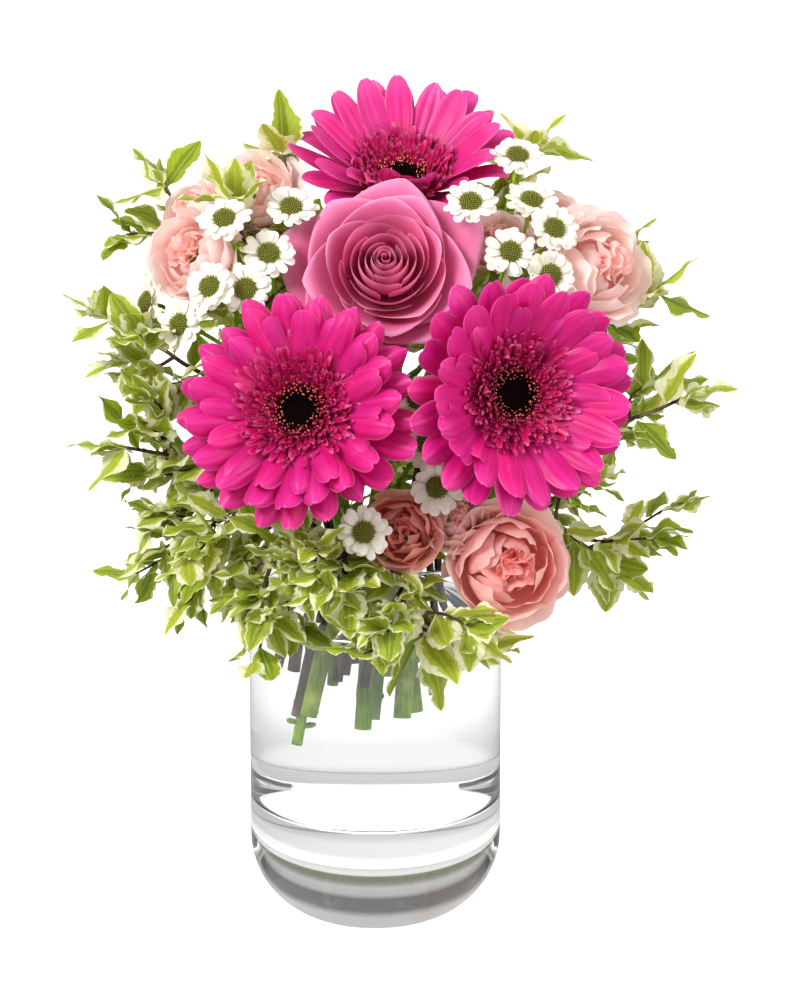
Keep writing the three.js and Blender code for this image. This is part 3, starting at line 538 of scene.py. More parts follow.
glassClear = clearMaterial("clearGlass", dict(
    tint=(0.99, 0.998, 0.993, 1), shade=(0.88, 0.89, 0.885, 1), rough=0.0, bend=1.5))
waterClear = clearMaterial("water", dict(
    tint=(1.0, 1.0, 1.0, 1), shade=(0.98, 0.99, 0.99, 1), rough=0.0, bend=1.33))
print("materials made")


# Glass and water

# The water reaches a hair into the glass (lap), so that no film of air shows between them.
glass = dict(
    radius=60.0, wall=5.5, height=186.0, floor=57.0, footRound=40.0, floorRound=8.0, water=152.0,
    meniscus=2.6, lap=0.04)


def tightened(profile, near=0.35):  # keeps the soft shading of a corner out of the straight walls
    out = [profile[0]]
    for (r0, z0), (r1, z1) in zip(profile, profile[1:]):
        length = math.hypot(r1 - r0, z1 - z0)
        if length > 5 * near:
            for share in (near / length, 1 - near / length):
                out.append((mix(r0, r1, share), mix(z0, z1, share)))
        out.append((r1, z1))
    return out


def lathe(name, profile, material, sides=256):
    turns = roundTurns(sides)
    points, rows = [], []
    for r, z in tightened(profile):
        if r < 1e-6:
            rows.append([len(points)])
            points.append((0, 0, z * 0.001))
        else:
            rows.append(list(range(len(points), len(points) + sides)))
            points += [(r * 0.001 * math.cos(t), r * 0.001 * math.sin(t), z * 0.001) for t in turns]
    faces = []
    for low, high in zip(rows, rows[1:]):
        for k in range(sides):
            n = (k + 1) % sides
            if len(low) == 1:
                faces.append((low[0], high[n], high[k]))
            elif len(high) == 1:
                faces.append((low[k], low[n], high[0]))
            else:
                faces.append((low[k], low[n], high[n], high[k]))
    mesh = bpy.data.meshes.new(name)
    mesh.from_pydata(points, [], faces)
    mesh.update()
    return addPiece(name, mesh, material)


def arc(centreR, centreZ, radius, start, stop, steps):
    out = []
    for k in range(steps + 1):
        a = math.radians(start + (stop - start) * k / steps)
        out.append((centreR + radius * math.cos(a), centreZ + radius * math.sin(a)))
    return out


inner = glass["radius"] - glass["wall"]
rim = glass["wall"] / 2
heel, well = glass["footRound"], glass["floorRound"]
insideLow = arc(inner - well, glass["floor"] + well, well, 0, -90, 30)
glassProfile = ([(0, 0)] + arc(glass["radius"] - heel, heel, heel, -90, 0, 96)
                + arc(glass["radius"] - rim, glass["height"] - rim, rim, 0, 180, 20) + insideLow
                + [(0, glass["floor"])])
vase = lathe("vaseGlass", glassProfile, glassClear)
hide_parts("vase")
level, curl, lap = glass["water"], glass["meniscus"], glass["lap"]
waterProfile = ([(0, glass["floor"] - lap)] + [(r + lap, z - lap) for r, z in reversed(insideLow)]
                + [(inner + lap, level + curl * 0.62), (inner - 0.5, level + curl * 0.34),
                   (inner - 1.3, level + curl * 0.12), (inner - 2.6, level), (0, level)])
water = lathe("waterBody", waterProfile, waterClear)
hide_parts("water")
print("glass and water made")


# Gerberas

# A layer of rays: share of the solid's reach, count, extra lift in degrees, half width, ring of the solid
gerberas = dict(
    left=dict(
        centre=(-33, -84, 271), azimuth=-14, elevation=28, radius=60, cup=20, seed=11, crown=-0.7,
        crest=21.0, arch=(-0.5, 0.0), tips=(-0.9, 0.2),
        layers=[(1.0, 21, 0, 8.0, 0), (0.9, 19, 2, 7.9, 1), (0.76, 15, 5, 7.2, 1)]),
    right=dict(
        centre=(62, -80, 278), azimuth=22, elevation=14, radius=60, cup=26, seed=23, crown=-0.35,
        crest=20.0, arch=(-0.3, 0.2), tips=(-0.7, 0.4),
        layers=[(1.0, 21, 0, 7.9, 0), (0.93, 19, 2, 7.6, 1), (0.7, 11, 2, 6.6, 1)]),
    top=dict(
        centre=(13, 24, 353), azimuth=0, elevation=62, radius=61, cup=34, seed=37, crown=0.15,
        crest=18.0, front=0.42, arch=(-0.25, 0.25), tips=(-0.8, 0.3),
        layers=[(1.0, 20, 0, 7.4, 0), (0.92, 17, 1, 7.0, 1)]))
gerberaSolid = dict(
    rays=15, roots=((11, -3.6), (11.5, -1.6)), nearAngle=4.5, eyeRadius=17, rootRadius=10.5)
crestRows = dict(
    rows=13, counts=(36, 54), shortest=4.5, halves=(0.7, 1.6), steepest=74, roots=(9.6, 13.6))
stamenRows = dict(rows=5, first=34, more=3, roots=(7.9, 12.0), lengths=(4.6, 6.4), thick=0.55)
closedHeart = dict(florets=190, radius=8.4, lengths=(2.0, 3.2), thick=0.55, padRadius=11.2)


def rayLine(place, solid, reach, cup):  # how far each ray of the solid reaches, and how it is lifted
    points = (solid[0] - place[:3, 3]) @ place[:3, :3]
    turn = np.degrees(np.arctan2(points[:, 1], points[:, 0]))
    far = np.hypot(points[:, 0], points[:, 1])
    rays = gerberaSolid["rays"]
    out = []
    for ring, (root, rise) in enumerate(gerberaSolid["roots"]):
        angles = 360 / rays * (np.arange(-rays, 2 * rays) + ring / 2)  # the full turn three times over
        rows = []
        for angle in angles[rays:2 * rays]:
            near = np.abs((turn - angle + 180) % 360 - 180) < gerberaSolid["nearAngle"]
            near &= far > gerberaSolid["eyeRadius"]
            if near.any():
                arm = np.stack([far[near] - root, points[near, 2] - rise], axis=1)
                best = np.argmax(np.linalg.norm(arm, axis=1))
                rows.append((np.linalg.norm(arm[best]), math.atan2(arm[best][1], arm[best][0])))
            else:
                rows.append((reach * 0.5, math.radians(cup + 20)))
        out.append((angles, np.tile(np.array(rows), (3, 1))))
    return out


# One petal, from its root at the origin out along +X; the flower's axis is +Z
def rayPetal(length, half, lift, bend, curlTip, cup, twist, draw, rows=15, columns=9, blunt=0.76,
             pleat=0.3):
    t = 1 - (1 - np.linspace(0, 1, rows)) ** 1.5
    s = np.linspace(-1, 1, columns)
    angle = lift + bend * (t - 0.5) + curlTip * np.clip((t - 0.7) / 0.3, 0, 1) ** 2
    dt = np.diff(t, prepend=0)
    x = np.cumsum(np.cos(angle) * dt) * length
    z = np.cumsum(np.sin(angle) * dt) * length
    width = half * mix(0.4, 1.0, smooth(0.0, 0.62, t))
    width = width * np.sqrt(np.clip(1 - np.clip((t - blunt) / (1.004 - blunt), 0, 1) ** 2.0, 0, 1))
    side = s[None] * width[:, None]
    cupHere = mix(0.35, cup, smooth(0.1, 0.7, t))[:, None]
    rise = cupHere * (s[None] ** 2) * width[:, None]
    folds = smooth(0.05, 0.3, t)[:, None] * (1 - smooth(0.85, 1, t))[:, None]
    rise = rise + pleat * np.cos(s[None] * 3 * math.pi) * folds
    side = side * np.cos(np.clip(np.abs(cupHere) * 0.7, 0, 1.2) * np.abs(s[None]))
    tilt = twist * t[:, None]
    side, rise = side * np.cos(tilt) - rise * np.sin(tilt), side * np.sin(tilt) + rise * np.cos(tilt)
    notch = 0.009 * np.cos(s * 6.3 + draw.uniform(0, 6))[None] * smooth(0.8, 1, t)[:, None]
    px = x[:, None] * (1 + notch) - np.sin(angle)[:, None] * rise
    pz = z[:, None] * (1 + notch) + np.cos(angle)[:, None] * rise
    return np.stack([px, side, pz], axis=-1), t[:, None], s[None]


def raysOf(bunch, flower, place, solid):
    draw = np.random.default_rng(flower["seed"])
    rootRadius = gerberaSolid["rootRadius"]
    rings = rayLine(place, solid, flower["radius"] - rootRadius, flower["cup"])
    for order, (reach, count, extraLift, half, ring) in enumerate(flower["layers"]):
        angles, rows = rings[ring]
        for k in range(count):
            turn = 360 * (k + 0.37 * order + draw.uniform(-0.13, 0.13)) / count
            far = np.interp(turn % 360, angles, rows[:, 0])
            lift = np.interp(turn % 360, angles, rows[:, 1])
            if ring == 1 and far > 0.6 * flower["radius"]:
                far = flower["radius"] - rootRadius
            facingFront = smooth(0.1, 0.9, -math.sin(math.radians(turn))) * flower.get("front", 0)
            length = far * reach * draw.uniform(0.95, 1.03) * (1 - facingFront)
            if length < 12:
                continue
            grid, along, across = rayPetal(
                length, half * draw.uniform(0.9, 1.08),
                lift + math.radians(extraLift + draw.uniform(-3, 3)) - 0.35 * facingFront,
                draw.uniform(*flower["arch"]), draw.uniform(*flower["tips"]),
                flower["crown"] + draw.uniform(-0.15, 0.15), draw.uniform(-0.22, 0.22), draw, 20, 11,
                draw.uniform(0.64, 0.73), draw.uniform(0.2, 0.5))
            root = np.array([rootRadius + 0.3 * order, 0, -4.2 + 1.6 * order + draw.uniform(-0.4, 0.4)])
            grid = put(place, spin(grid + root, math.radians(turn)))
            bunch.sheet(grid, along, across, draw.uniform(), 1.0)


def floretsOf(bunch, flower, place):  # the broad crest of short florets between the rays and the eye
    draw = np.random.default_rng(flower["seed"] + 1)
    low = math.radians(flower["cup"] + 13)
    for row in range(crestRows["rows"]):
        share = row / (crestRows["rows"] - 1)
        count = int(mix(*crestRows["counts"], share))
        length = mix(crestRows["shortest"], flower["crest"], share ** 1.05)
        lift = mix(math.radians(crestRows["steepest"]), low, share ** 0.7)
        for k in range(count):
            turn = 2 * math.pi * (k + 0.5 * (row % 2) + draw.uniform(-0.35, 0.35)) / count
            size = length * draw.uniform(0.7, 1.2)
            half = mix(*crestRows["halves"], share) * draw.uniform(0.75, 1.2)
            grid, along, across = rayPetal(
                size, half, lift + draw.uniform(-0.2, 0.2), draw.uniform(-0.5, 0.6),
                draw.uniform(-0.3, 1.4), 0.4, draw.uniform(-0.6, 0.6), draw, 8, 5, 0.7, 0.0)
            grid = grid + np.array([mix(*crestRows["roots"], share), 0, mix(1.0, 0.6, share)])
            deep = mix(0.15, 0.75, share)
            bunch.sheet(put(place, spin(grid, turn)), along, across, draw.uniform(), deep)


def peg(bunch, place, at, heading, length, radius, tone):  # a small floret: a stalk with a fuller end
    shares = np.array([0, 0.4, 0.72, 0.9, 1.0])
    wide = np.array([0.7, 0.6, 0.95, 0.85, 0.3]) * radius
    line = at[None] + np.outer(shares * length, heading)
    bunch.tube(put(place, line), wide, 5, tone)


def eyeOf(stamens, core, flower, place):  # a ring of stamens round the closed heart
    draw = np.random.default_rng(flower["seed"] + 2)
    for row in range(stamenRows["rows"]):
        share = row / (stamenRows["rows"] - 1)
        count = stamenRows["first"] + row * stamenRows["more"]
        for k in range(count):
            turn = 2 * math.pi * (k + draw.uniform(-0.35, 0.35)) / count
            radius = mix(*stamenRows["roots"], share) + draw.uniform(-0.4, 0.4)
            lean = mix(-0.05, 0.45, share) + draw.uniform(-0.2, 0.2)
            heading = unit(np.array([math.sin(lean), draw.uniform(-0.2, 0.2), math.cos(lean)]))
            at, heading = spin(np.stack([np.array([radius, 0, 0.6]), heading]), turn)
            length = mix(*stamenRows["lengths"], share) * draw.uniform(0.8, 1.15)
            peg(stamens, place, at, heading, length, stamenRows["thick"], draw.uniform())
    count = closedHeart["florets"]
    for k in range(count):
        share = math.sqrt((k + 0.5) / count)
        heading = unit(np.array([0.25 * share, 0, 1.0]))
        at = np.array([closedHeart["radius"] * share, 0, 1.4 + 1.3 * share ** 2])
        at, heading = spin(np.stack([at, heading]), k * goldenTurn)
        length = mix(*closedHeart["lengths"], share ** 2)
        peg(core, place, at, heading, length, closedHeart["thick"], draw.uniform())
    r = np.linspace(0.02, closedHeart["padRadius"], 8)
    core.sheet(put(place, revolved(r, 1.6 - 0.004 * r ** 2, 40)), 0.0, 0.0, 0.3, 0.2, closed=True)


def bractCup(bunch, place, radius, depth, rows, count, draw):  # the green scaled cup under a head
    z = -depth * np.array([1.0, 0.86, 0.62, 0.42, 0.3])
    cup = revolved(np.array([1.8, 5.0, 8.6, 10.8, radius]), z, 36)
    bunch.sheet(put(place, cup), np.linspace(0, 1, 5)[:, None], 0.0, 0.5, 0.4, closed=True)
    for row in range(rows):
        share = row / (rows - 1)
        for k in range(count):
            turn = 2 * math.pi * (k + 0.5 * row) / count + draw.uniform(-0.05, 0.05)
            grid, along, across = rayPetal(
                mix(7, 11, share), 1.7, math.radians(38) - 0.25 * row, -0.3, -0.3, -0.25, 0, draw, 7, 5)
            grid = grid + np.array([mix(4.4, 8.4, share), 0, mix(-depth * 0.88, -depth * 0.6, share)])
            bunch.sheet(put(place, spin(grid, turn)), along, across, draw.uniform(), 0.5)


def stalkLine(node, place, reach, under, count, ledIn=False):  # from the cut end up to a flower
    solid = solidOf(node)
    line = trace(solid, lowEnd(solid[0], reach), (0, 0, 1), reach, 400, 4)
    top = onAxis(place, *under)
    near = np.linalg.norm(line - top[0], axis=1) <= 9
    if near.any():
        line = line[:np.argmax(near)]
    if ledIn:
        line = np.concatenate([line, top[:1]])
    return curveThrough(eased(line, 6)[::4].tolist() + top.tolist(), count)


bloomNodes = []
for name, flower in gerberas.items():
    place = facing(flower["centre"], flower["azimuth"], flower["elevation"])
    draw = np.random.default_rng(flower["seed"] + 5)
    rays = Bunch()
    raysOf(rays, flower, place, solidOf(f"gerbera_{name}_rays"))
    petals = paleGerberaSkin if name == "top" else gerberaSkin
    rays.piece(f"gerbera_{name}_petals", petals, "gerbera_petal", [f"gerbera_{name}_rays"])
    florets, stamens, core = Bunch(), Bunch(), Bunch()
    floretsOf(florets, flower, place)
    eyeOf(stamens, core, flower, place)
    florets.piece(f"gerbera_{name}_florets", floretSkin, "gerbera_petal")
    stamens.piece(f"gerbera_{name}_stamens", stamenMaterial, "gerbera_eye")
    core.piece(f"gerbera_{name}_heart", coreMaterial, "gerbera_eye", [f"gerbera_{name}_disc"])
    stem = Bunch()
    line = stalkLine(f"gerbera_{name}_stem", place, 9, (-15.0, -8.0), 90, ledIn=True)
    stem.tube(line, np.linspace(3.7, 3.3, 90), 20, draw.uniform(), 0.3)
    bractCup(stem, place, 11.6, 16, 3, 18, draw)
    stem.piece(f"gerbera_{name}_stalk", paleStem, "green_stem", [f"gerbera_{name}_stem"])
    bloomNodes += [f"gerbera_{name}_rays"]
print("gerberas made")


# Rose

# The petals open from the heart out. Each stands a step further round, with a shift after every fifth.
rose = dict(
    centre=(5, -44, 330), azimuth=0, elevation=34, petals=30, first=2.14, step=144, shift=37, seed=5,
    radius=48.0, height=8.5, drop=23.0, base=-22.0, sepals=5, sepalLength=25)


def cubic(p, t):  # a curve from the first spot to the last, drawn towards the two between
    t = t[:, None]
    return (1 - t) ** 3 * p[0] + 3 * (1 - t) ** 2 * t * p[1] + 3 * (1 - t) * t * t * p[2] + t ** 3 * p[3]


def rosePetal(share, turn, draw, rows=28, columns=25):
    v = np.linspace(0, 1, rows)
    s = np.linspace(-1, 1, columns)
    reach = 3.4 + rose["radius"] * share ** 1.3
    top = rose["height"] - rose["drop"] * share ** 2.4 + draw.uniform(-0.7, 0.7)
    opened = smooth(0.12, 0.95, share)
    ribs = np.array([[4.0, rose["base"]],
                     mix(np.array([reach + 2.5, -12.0]), np.array([reach * 0.62, -20.0]), opened),
                     mix(np.array([reach + 1.0, top - 5.0]), np.array([reach * 0.92, top + 4.0]), opened),
                     mix(np.array([reach + 0.2, top]), np.array([reach + 2.2, top - 2.6]), opened)])
    half = math.radians(mix(96, 54, share ** 0.45))
    lean = mix(0.5, 2.2, share)
    out = np.zeros((rows, columns, 3))
    wave = draw.uniform(0, 6.28)
    corner = draw.uniform(-0.25, 0.25)  # the pointed end stands a little off the middle
    for n, side in enumerate(s):
        off = abs(side - corner * (1 - side * side))
        place = cubic(ribs, v * (1 - mix(0.05, 0.13, opened) * off))
        width = mix(0.5, 1.0, smooth(0, 0.55, v)) * (1 - 0.1 * smooth(0.8, 1, v))
        r = place[:, 0] * (1 - mix(0.02, 0.27, opened) * off * v ** 2) + lean * side
        r = r + 0.6 * opened * np.sin(2.6 * side + wave) * v ** 2
        z = place[:, 1] - mix(0.8, 7.0, opened) * off ** 2.2 * v ** 2
        r = r + opened * 1.6 * smooth(0.35, 1, abs(side)) * smooth(0.75, 1, v)
        angle = turn + side * half * width
        out[:, n, 0], out[:, n, 1], out[:, n, 2] = r * np.cos(angle), r * np.sin(angle), z
    return out, v[:, None], s[None]


def roseHeart(bunch, place):  # the tightly rolled middle
    turns = np.linspace(0, 2 * math.pi * 2.7, 120)
    v = np.linspace(0, 1, 12)
    r = 0.5 + 4.6 * (turns / turns[-1]) ** 0.9
    flare = 1 + 0.1 * smooth(0.8, 1, v)[:, None]
    top = rose["height"] + 0.6 - 1.2 * (turns / turns[-1]) + 0.5 * np.sin(turns * 0.9)
    z = mix(-12.0, top[None], v[:, None])
    grid = np.stack([r * np.cos(turns) * flare, r * np.sin(turns) * flare, z], axis=-1)
    bunch.sheet(put(place, grid), v[:, None], 0.0, 0.5, 0.45)


rosePlace = facing(rose["centre"], rose["azimuth"], rose["elevation"])
draw = np.random.default_rng(rose["seed"])
bloom = Bunch()
for k in range(rose["petals"]):
    share = k / (rose["petals"] - 1)
    turn = rose["first"] + k * math.radians(rose["step"]) + k // 5 * math.radians(rose["shift"])
    grid, along, across = rosePetal(share, turn + draw.uniform(-0.09, 0.09), draw)
    deep = smooth(0, 1, mix(0.35, 1.0, share ** 0.6))
    bloom.sheet(put(rosePlace, grid), along, across, draw.uniform(), deep)
roseHeart(bloom, rosePlace)
bloom.piece("rose_petals", roseSkin, "rose_petal", ["rose_bloom"])
stem = Bunch()
line = stalkLine("rose_stem", rosePlace, 8, (-34.0, -26.0), 80)
knots = np.exp(-((np.linspace(0, 1, 80) * 6 % 1 - 0.5) / 0.08) ** 2)
stem.tube(line, 3.2 + 0.35 * knots, 18, 0.4, 0.3)
stem.tube(onAxis(rosePlace, -36, -33, -29, -25, -22), [3.3, 5.4, 6.8, 6.2, 5.0], 18, 0.5, 0.3)
for k in range(rose["sepals"]):  # bent back under the bloom
    grid, along, across = rayPetal(
        rose["sepalLength"], 3.3, -0.45, -0.9, -0.4, 0.2, draw.uniform(-0.3, 0.3), draw, 12, 7)
    grid = grid + np.array([5.2, 0, -26])
    grid = put(rosePlace, spin(grid, 2 * math.pi * k / rose["sepals"]))
    stem.sheet(grid, along, across, draw.uniform(), 0.3)
stem.piece("rose_stalk", greenStem, "green_stem", ["rose_stem"])
bloomNodes.append("rose_bloom")
print("rose made")


# Spray carnations

carnationSprays = dict(
    left=dict(fork=(-38, 4, 262), blooms=[
        dict(centre=(-84, -26, 331), azimuth=-35, elevation=30, radius=20),
        dict(centre=(-56, 12, 353), azimuth=-12, elevation=48, radius=19),
        dict(centre=(-86, 12, 344), azimuth=-50, elevation=45, radius=14)]),
    right=dict(fork=(48, 8, 262), blooms=[
        dict(centre=(106, -12, 321), azimuth=45, elevation=20, radius=24),
        dict(centre=(84, 12, 337), azimuth=15, elevation=50, radius=16),
        dict(centre=(58, -12, 334), azimuth=5, elevation=50, radius=14)]),
    low=dict(fork=(26, -40, 205), blooms=[
        dict(centre=(62, -74, 196), azimuth=16, elevation=14, radius=25, tint="blush"),
        dict(centre=(12, -74, 212), azimuth=-6, elevation=20, radius=16, tint="salmon"),
        dict(centre=(38, -66, 217), azimuth=6, elevation=36, radius=14)]),
    back=dict(fork=(6, 34, 250), blooms=[
        dict(centre=(-30, 82, 290), azimuth=196, elevation=34, radius=21),
        dict(centre=(48, 78, 300), azimuth=160, elevation=40, radius=22)]))
# Layers of a bloom: share of the radius, degrees from the axis to the rim, half angle, rim curl, count
bloomLayers = [
    (1.0, 82, 50, 0.24, 5), (0.95, 68, 48, 0.14, 5), (0.84, 54, 46, 0.05, 5), (0.7, 42, 44, -0.03, 4),
    (0.54, 34, 46, -0.05, 4)]
carnation = dict(frills=13, knots=5, leafLength=34, leafHalf=1.7, stem=2.0, knot=0.9, sideStem=1.5)


def cuppedPetal(radius, rim, half, curl, draw, rows=15, columns=19):  # a soft petal on the side of a ball
    v = np.linspace(0, 1, rows)[:, None]
    s = np.linspace(-1, 1, columns)[None]
    base, rim = math.radians(152), math.radians(rim + draw.uniform(-6, 6))
    point = draw.uniform(-0.3, 0.3)
    drop = np.abs(s - point * (1 - s * s)) ** 2.2
    polar = base + (rim - base) * v * (1 - 0.3 * drop)
    ball = radius * mix(0.5, 1.0, smooth(0, 0.55, v))
    ball = ball + radius * (curl + draw.uniform(-0.04, 0.04)) * np.clip((v - 0.7) / 0.3, 0, 1) ** 2
    phase, count = draw.uniform(0, 6.28), draw.uniform(2.4, 4.2)
    ball = ball + radius * draw.uniform(0.04, 0.08) * np.sin(s * count + phase) * v ** 2
    ball = ball + radius * 0.022 * np.sin(s * 11 + phase * 2) * v ** 4
    polar = polar + 0.05 * np.sin(s * 7.5 + phase) * v ** 4
    ball = ball + radius * 0.05 * s
    angle = s * math.radians(half) * mix(0.42, 1.0, smooth(0, 0.5, v))
    x = ball * np.sin(polar) * np.cos(angle)
    y = ball * np.sin(polar) * np.sin(angle)
    return np.stack([x, y, 0.92 * ball * np.cos(polar)], axis=-1), v, s


def frillPetal(length, spread, lift, draw, rows=9, columns=17):  # a narrow crumpled one of the middle
    v = np.linspace(0.1, 1, rows)[:, None]
    s = np.linspace(-1, 1, columns)[None]
    ripple = 0.05 * np.sin(s * 12 + draw.uniform(0, 6)) * v ** 2
    far = length * v * (1 - 0.16 * np.abs(s) ** 2.2 * v) * (1 + ripple)
    angle = s * spread * mix(0.35, 1.0, smooth(0.1, 0.9, v))
    amp = length * draw.uniform(0.12, 0.2) * v ** 1.3
    wave = amp * np.sin(s * draw.uniform(3.2, 5.2) + draw.uniform(0, 6.28))
    heading = lift + draw.uniform(-0.1, 0.1) + draw.uniform(-0.3, 0.5) * v ** 2
    x = far * np.cos(angle) * np.cos(heading) - wave * np.sin(heading)
    z = far * np.cos(angle) * np.sin(heading) + wave * np.cos(heading)
    y = far * np.sin(angle) + 0.2 * wave
    return np.stack([x, y, z], axis=-1), v, s


def carnationHead(bunch, bloom, place, draw):
    radius = bloom["radius"]
    for order, (share, rim, half, curl, count) in enumerate(bloomLayers):
        first = draw.uniform(0, 1)
        for k in range(count):
            turn = 2 * math.pi * (k + first + draw.uniform(-0.14, 0.14)) / count
            size = radius * share * draw.uniform(0.94, 1.04)
            grid, along, across = cuppedPetal(size, rim, half * draw.uniform(0.85, 1.1), curl, draw)
            grid = grid + np.array([0, 0, -0.2 * radius])
            deep = mix(1.0, 0.5, order / (len(bloomLayers) - 1))
            bunch.sheet(put(place, spin(grid, turn)), along, across, draw.uniform(), deep)
    for k in range(carnation["frills"]):  # the crumpled middle
        share = k / (carnation["frills"] - 1)
        grid, along, across = frillPetal(radius * draw.uniform(0.46, 0.6), draw.uniform(0.6, 0.95),
                                         math.radians(mix(86, 62, share)), draw)
        grid = grid + np.array([radius * mix(0.02, 0.14, share), 0, -0.12 * radius])
        bunch.sheet(put(place, spin(grid, goldenTurn * k)), along, across, draw.uniform(), 0.12)


def sideLine(solid, place, start, back, fork, reach):  # from the fork to a head
    head = onAxis(place, start, start - 6.0)
    line = trace(solid, head[1], head[1] - head[0], reach, 130, 3)
    line = eased(upTo(line, fork), 4)
    route = [fork.tolist()] + line[::-1][2::5].tolist() + head[::-1].tolist()
    return curveThrough(route + onAxis(place, back).tolist(), 46)


def mainLine(solid, fork, reach, count=80):  # from the cut end to the fork
    line = trace(solid, lowEnd(solid[0], reach), (0, 0, 1), reach, 400, 4)
    line = eased(upTo(line, fork), 5)
    return curveThrough(line[::4].tolist() + [fork.tolist()], count)


for name, spray in carnationSprays.items():
    draw = np.random.default_rng(len(name) * 7 + 3)
    solid = solidOf(f"carnation_stem_{name}")
    fork = np.array(spray["fork"], float)
    stems = Bunch()
    line = mainLine(solid, fork, 5.5)
    knots = carnation["knots"]
    swell = np.exp(-((np.linspace(0, knots, len(line)) % 1 - 0.5) / 0.06) ** 2)
    deep = 0.4 + 0.6 * np.concatenate([swell[:1], swell, swell[-1:]])  # one more ring at each end
    stems.tube(line, carnation["stem"] + carnation["knot"] * swell, 14, 0.5, deep[:, None])
    for k in range(knots):  # a narrow leaf pair at each knot above the water
        at = line[int((len(line) - 1) * (k + 0.5) / knots)]
        if at[2] < glass["water"] + 8:
            continue
        for flip in (0, math.pi):
            grid, along, across = rayPetal(
                carnation["leafLength"], carnation["leafHalf"], 1.0, -1.1, -0.5, 0.5, 0, draw, 14, 5)
            stems.sheet(spin(grid, draw.uniform(0, 0.6) + k * 1.57 + flip) + at, along, across, 0.5, 0.4)
    for k, bloom in enumerate(spray["blooms"]):
        place = facing(bloom["centre"], bloom["azimuth"], bloom["elevation"])
        stems.tube(sideLine(solid, place, -27.0, -20.0, fork, 4.5), carnation["sideStem"], 10, 0.5, 0.4)
        wide = np.array([1.6, 2.6, 3.7, 4.4, 4.8]) * max(bloom["radius"] / 20, 0.85)
        stems.tube(onAxis(place, -28, -26, -19, -11, -6), wide, 16, 0.4, 0.3)  # the green cup
        head = Bunch()
        carnationHead(head, bloom, place, draw)
        petals = {"salmon": salmonSkin, "blush": blushSkin}.get(bloom.get("tint"), carnationSkin)
        slot = "salmon_petal" if bloom.get("tint") == "salmon" else "carnation_petal"
        head.piece(f"carnation_{name}_{k + 1}_petals", petals, slot, [f"carnation_{name}_{k + 1}"])
        bloomNodes.append(f"carnation_{name}_{k + 1}")
    stems.piece(f"carnation_{name}_stems", blueStem, "carnation_stem", [f"carnation_stem_{name}"])
print("carnations made")


# Small daisies

# Each head: its centre, then the azimuth and elevation it looks to
daisySprays = dict(
    left=dict(fork=(-34, -22, 262), stubs=5, heads=[
        (-88, -44, 301, -40, 20), (-76, -44, 318, -30, 30), (-58, -46, 318, -10, 25),
        (-48, -36, 332, 0, 40), (-66, -32, 341, -15, 50), (-104, -22, 306, -60, 20),
        (-38, -20, 350, 0, 55)]),
    right=dict(fork=(42, -14, 262), heads=[
        (60, 2, 362, 10, 60), (44, -18, 352, 0, 50), (82, -24, 341, 25, 40), (80, -34, 322, 20, 12),
        (72, -10, 351, 20, 60), (62, -32, 332, 10, 34)]),
    centre=dict(fork=(12, -34, 225), heads=[
        (24, -62, 250, 0, 25), (28, -70, 232, 5, 12), (20, -54, 266, 0, 40), (-4, -84, 214, -5, 20)]),
    back=dict(fork=(-8, 46, 240), heads=[
        (8, 84, 318, 180, 45), (-58, 76, 318, 205, 40), (14, 92, 280, 180, 20)]))
nudges = [  # the steps aside that the solids may have taken to stand clear
    (0, 0, 0), (0, 0, 5), (0, 4, 3), (4, 0, 3), (-4, 0, 3), (0, -4, 5), (0, 0, 10), (6, 4, 6), (-6, 4, 6),
    (0, 8, 6), (0, 0, -6), (0, 8, 12)]
# Rows of petals: count, share of the radius, lift in degrees, half width
daisy = dict(
    radius=12.8, eye=4.9, root=3.6, florets=90, rows=((15, 1.0, 5, 2.3), (11, 0.86, 18, 2.1)), stem=2.0)


def headPlace(solid, spot):  # where the solid's head stands after its step aside
    best = None
    for step in nudges:
        place = facing(spot[:3], spot[3], spot[4])
        place[:3, 3] = put(place, np.array([step], float))[0]
        off = np.linalg.norm(solid[0] - onAxis(place, 4.0), axis=1).min()
        if best is None or off < best[0]:
            best = (off, place)
    return best[1]


def daisyHead(petals, eyes, place, draw):
    for order, (count, share, lift, half) in enumerate(daisy["rows"]):
        for k in range(count):
            turn = 2 * math.pi * (k + 0.5 * order + draw.uniform(-0.28, 0.28)) / count
            length = (daisy["radius"] - daisy["root"]) * share * draw.uniform(0.8, 1.08)
            grid, along, across = rayPetal(
                length, half * draw.uniform(0.85, 1.1), math.radians(lift + draw.uniform(-7, 9)),
                draw.uniform(-0.5, 0.3), draw.uniform(-0.6, 0.3), 0.22, draw.uniform(-0.25, 0.25), draw,
                8, 5)
            grid = grid + np.array([daisy["root"], 0, 0.2 + 0.5 * order])
            petals.sheet(put(place, spin(grid, turn)), along, across, draw.uniform(), 1.0)
    count = daisy["florets"]
    for k in range(count):
        share = math.sqrt((k + 0.5) / count)
        heading = unit(np.array([0.9 * share, 0, 1.0]))
        at = np.array([daisy["eye"] * share, 0, 0.6 + 2.3 * math.sqrt(max(0, 1 - share ** 2))])
        at, heading = spin(np.stack([at, heading]), k * goldenTurn)
        peg(eyes, place, at, heading, 1.3, 0.36, draw.uniform())
    r = np.linspace(0.02, daisy["eye"] + 0.3, 6)
    z = 0.5 + 2.4 * np.sqrt(np.clip(1 - (r / (daisy["eye"] + 0.4)) ** 2, 0, 1))
    eyes.sheet(put(place, revolved(r, z, 20)), 0.1, 0.0, 0.3, 0.2, closed=True)


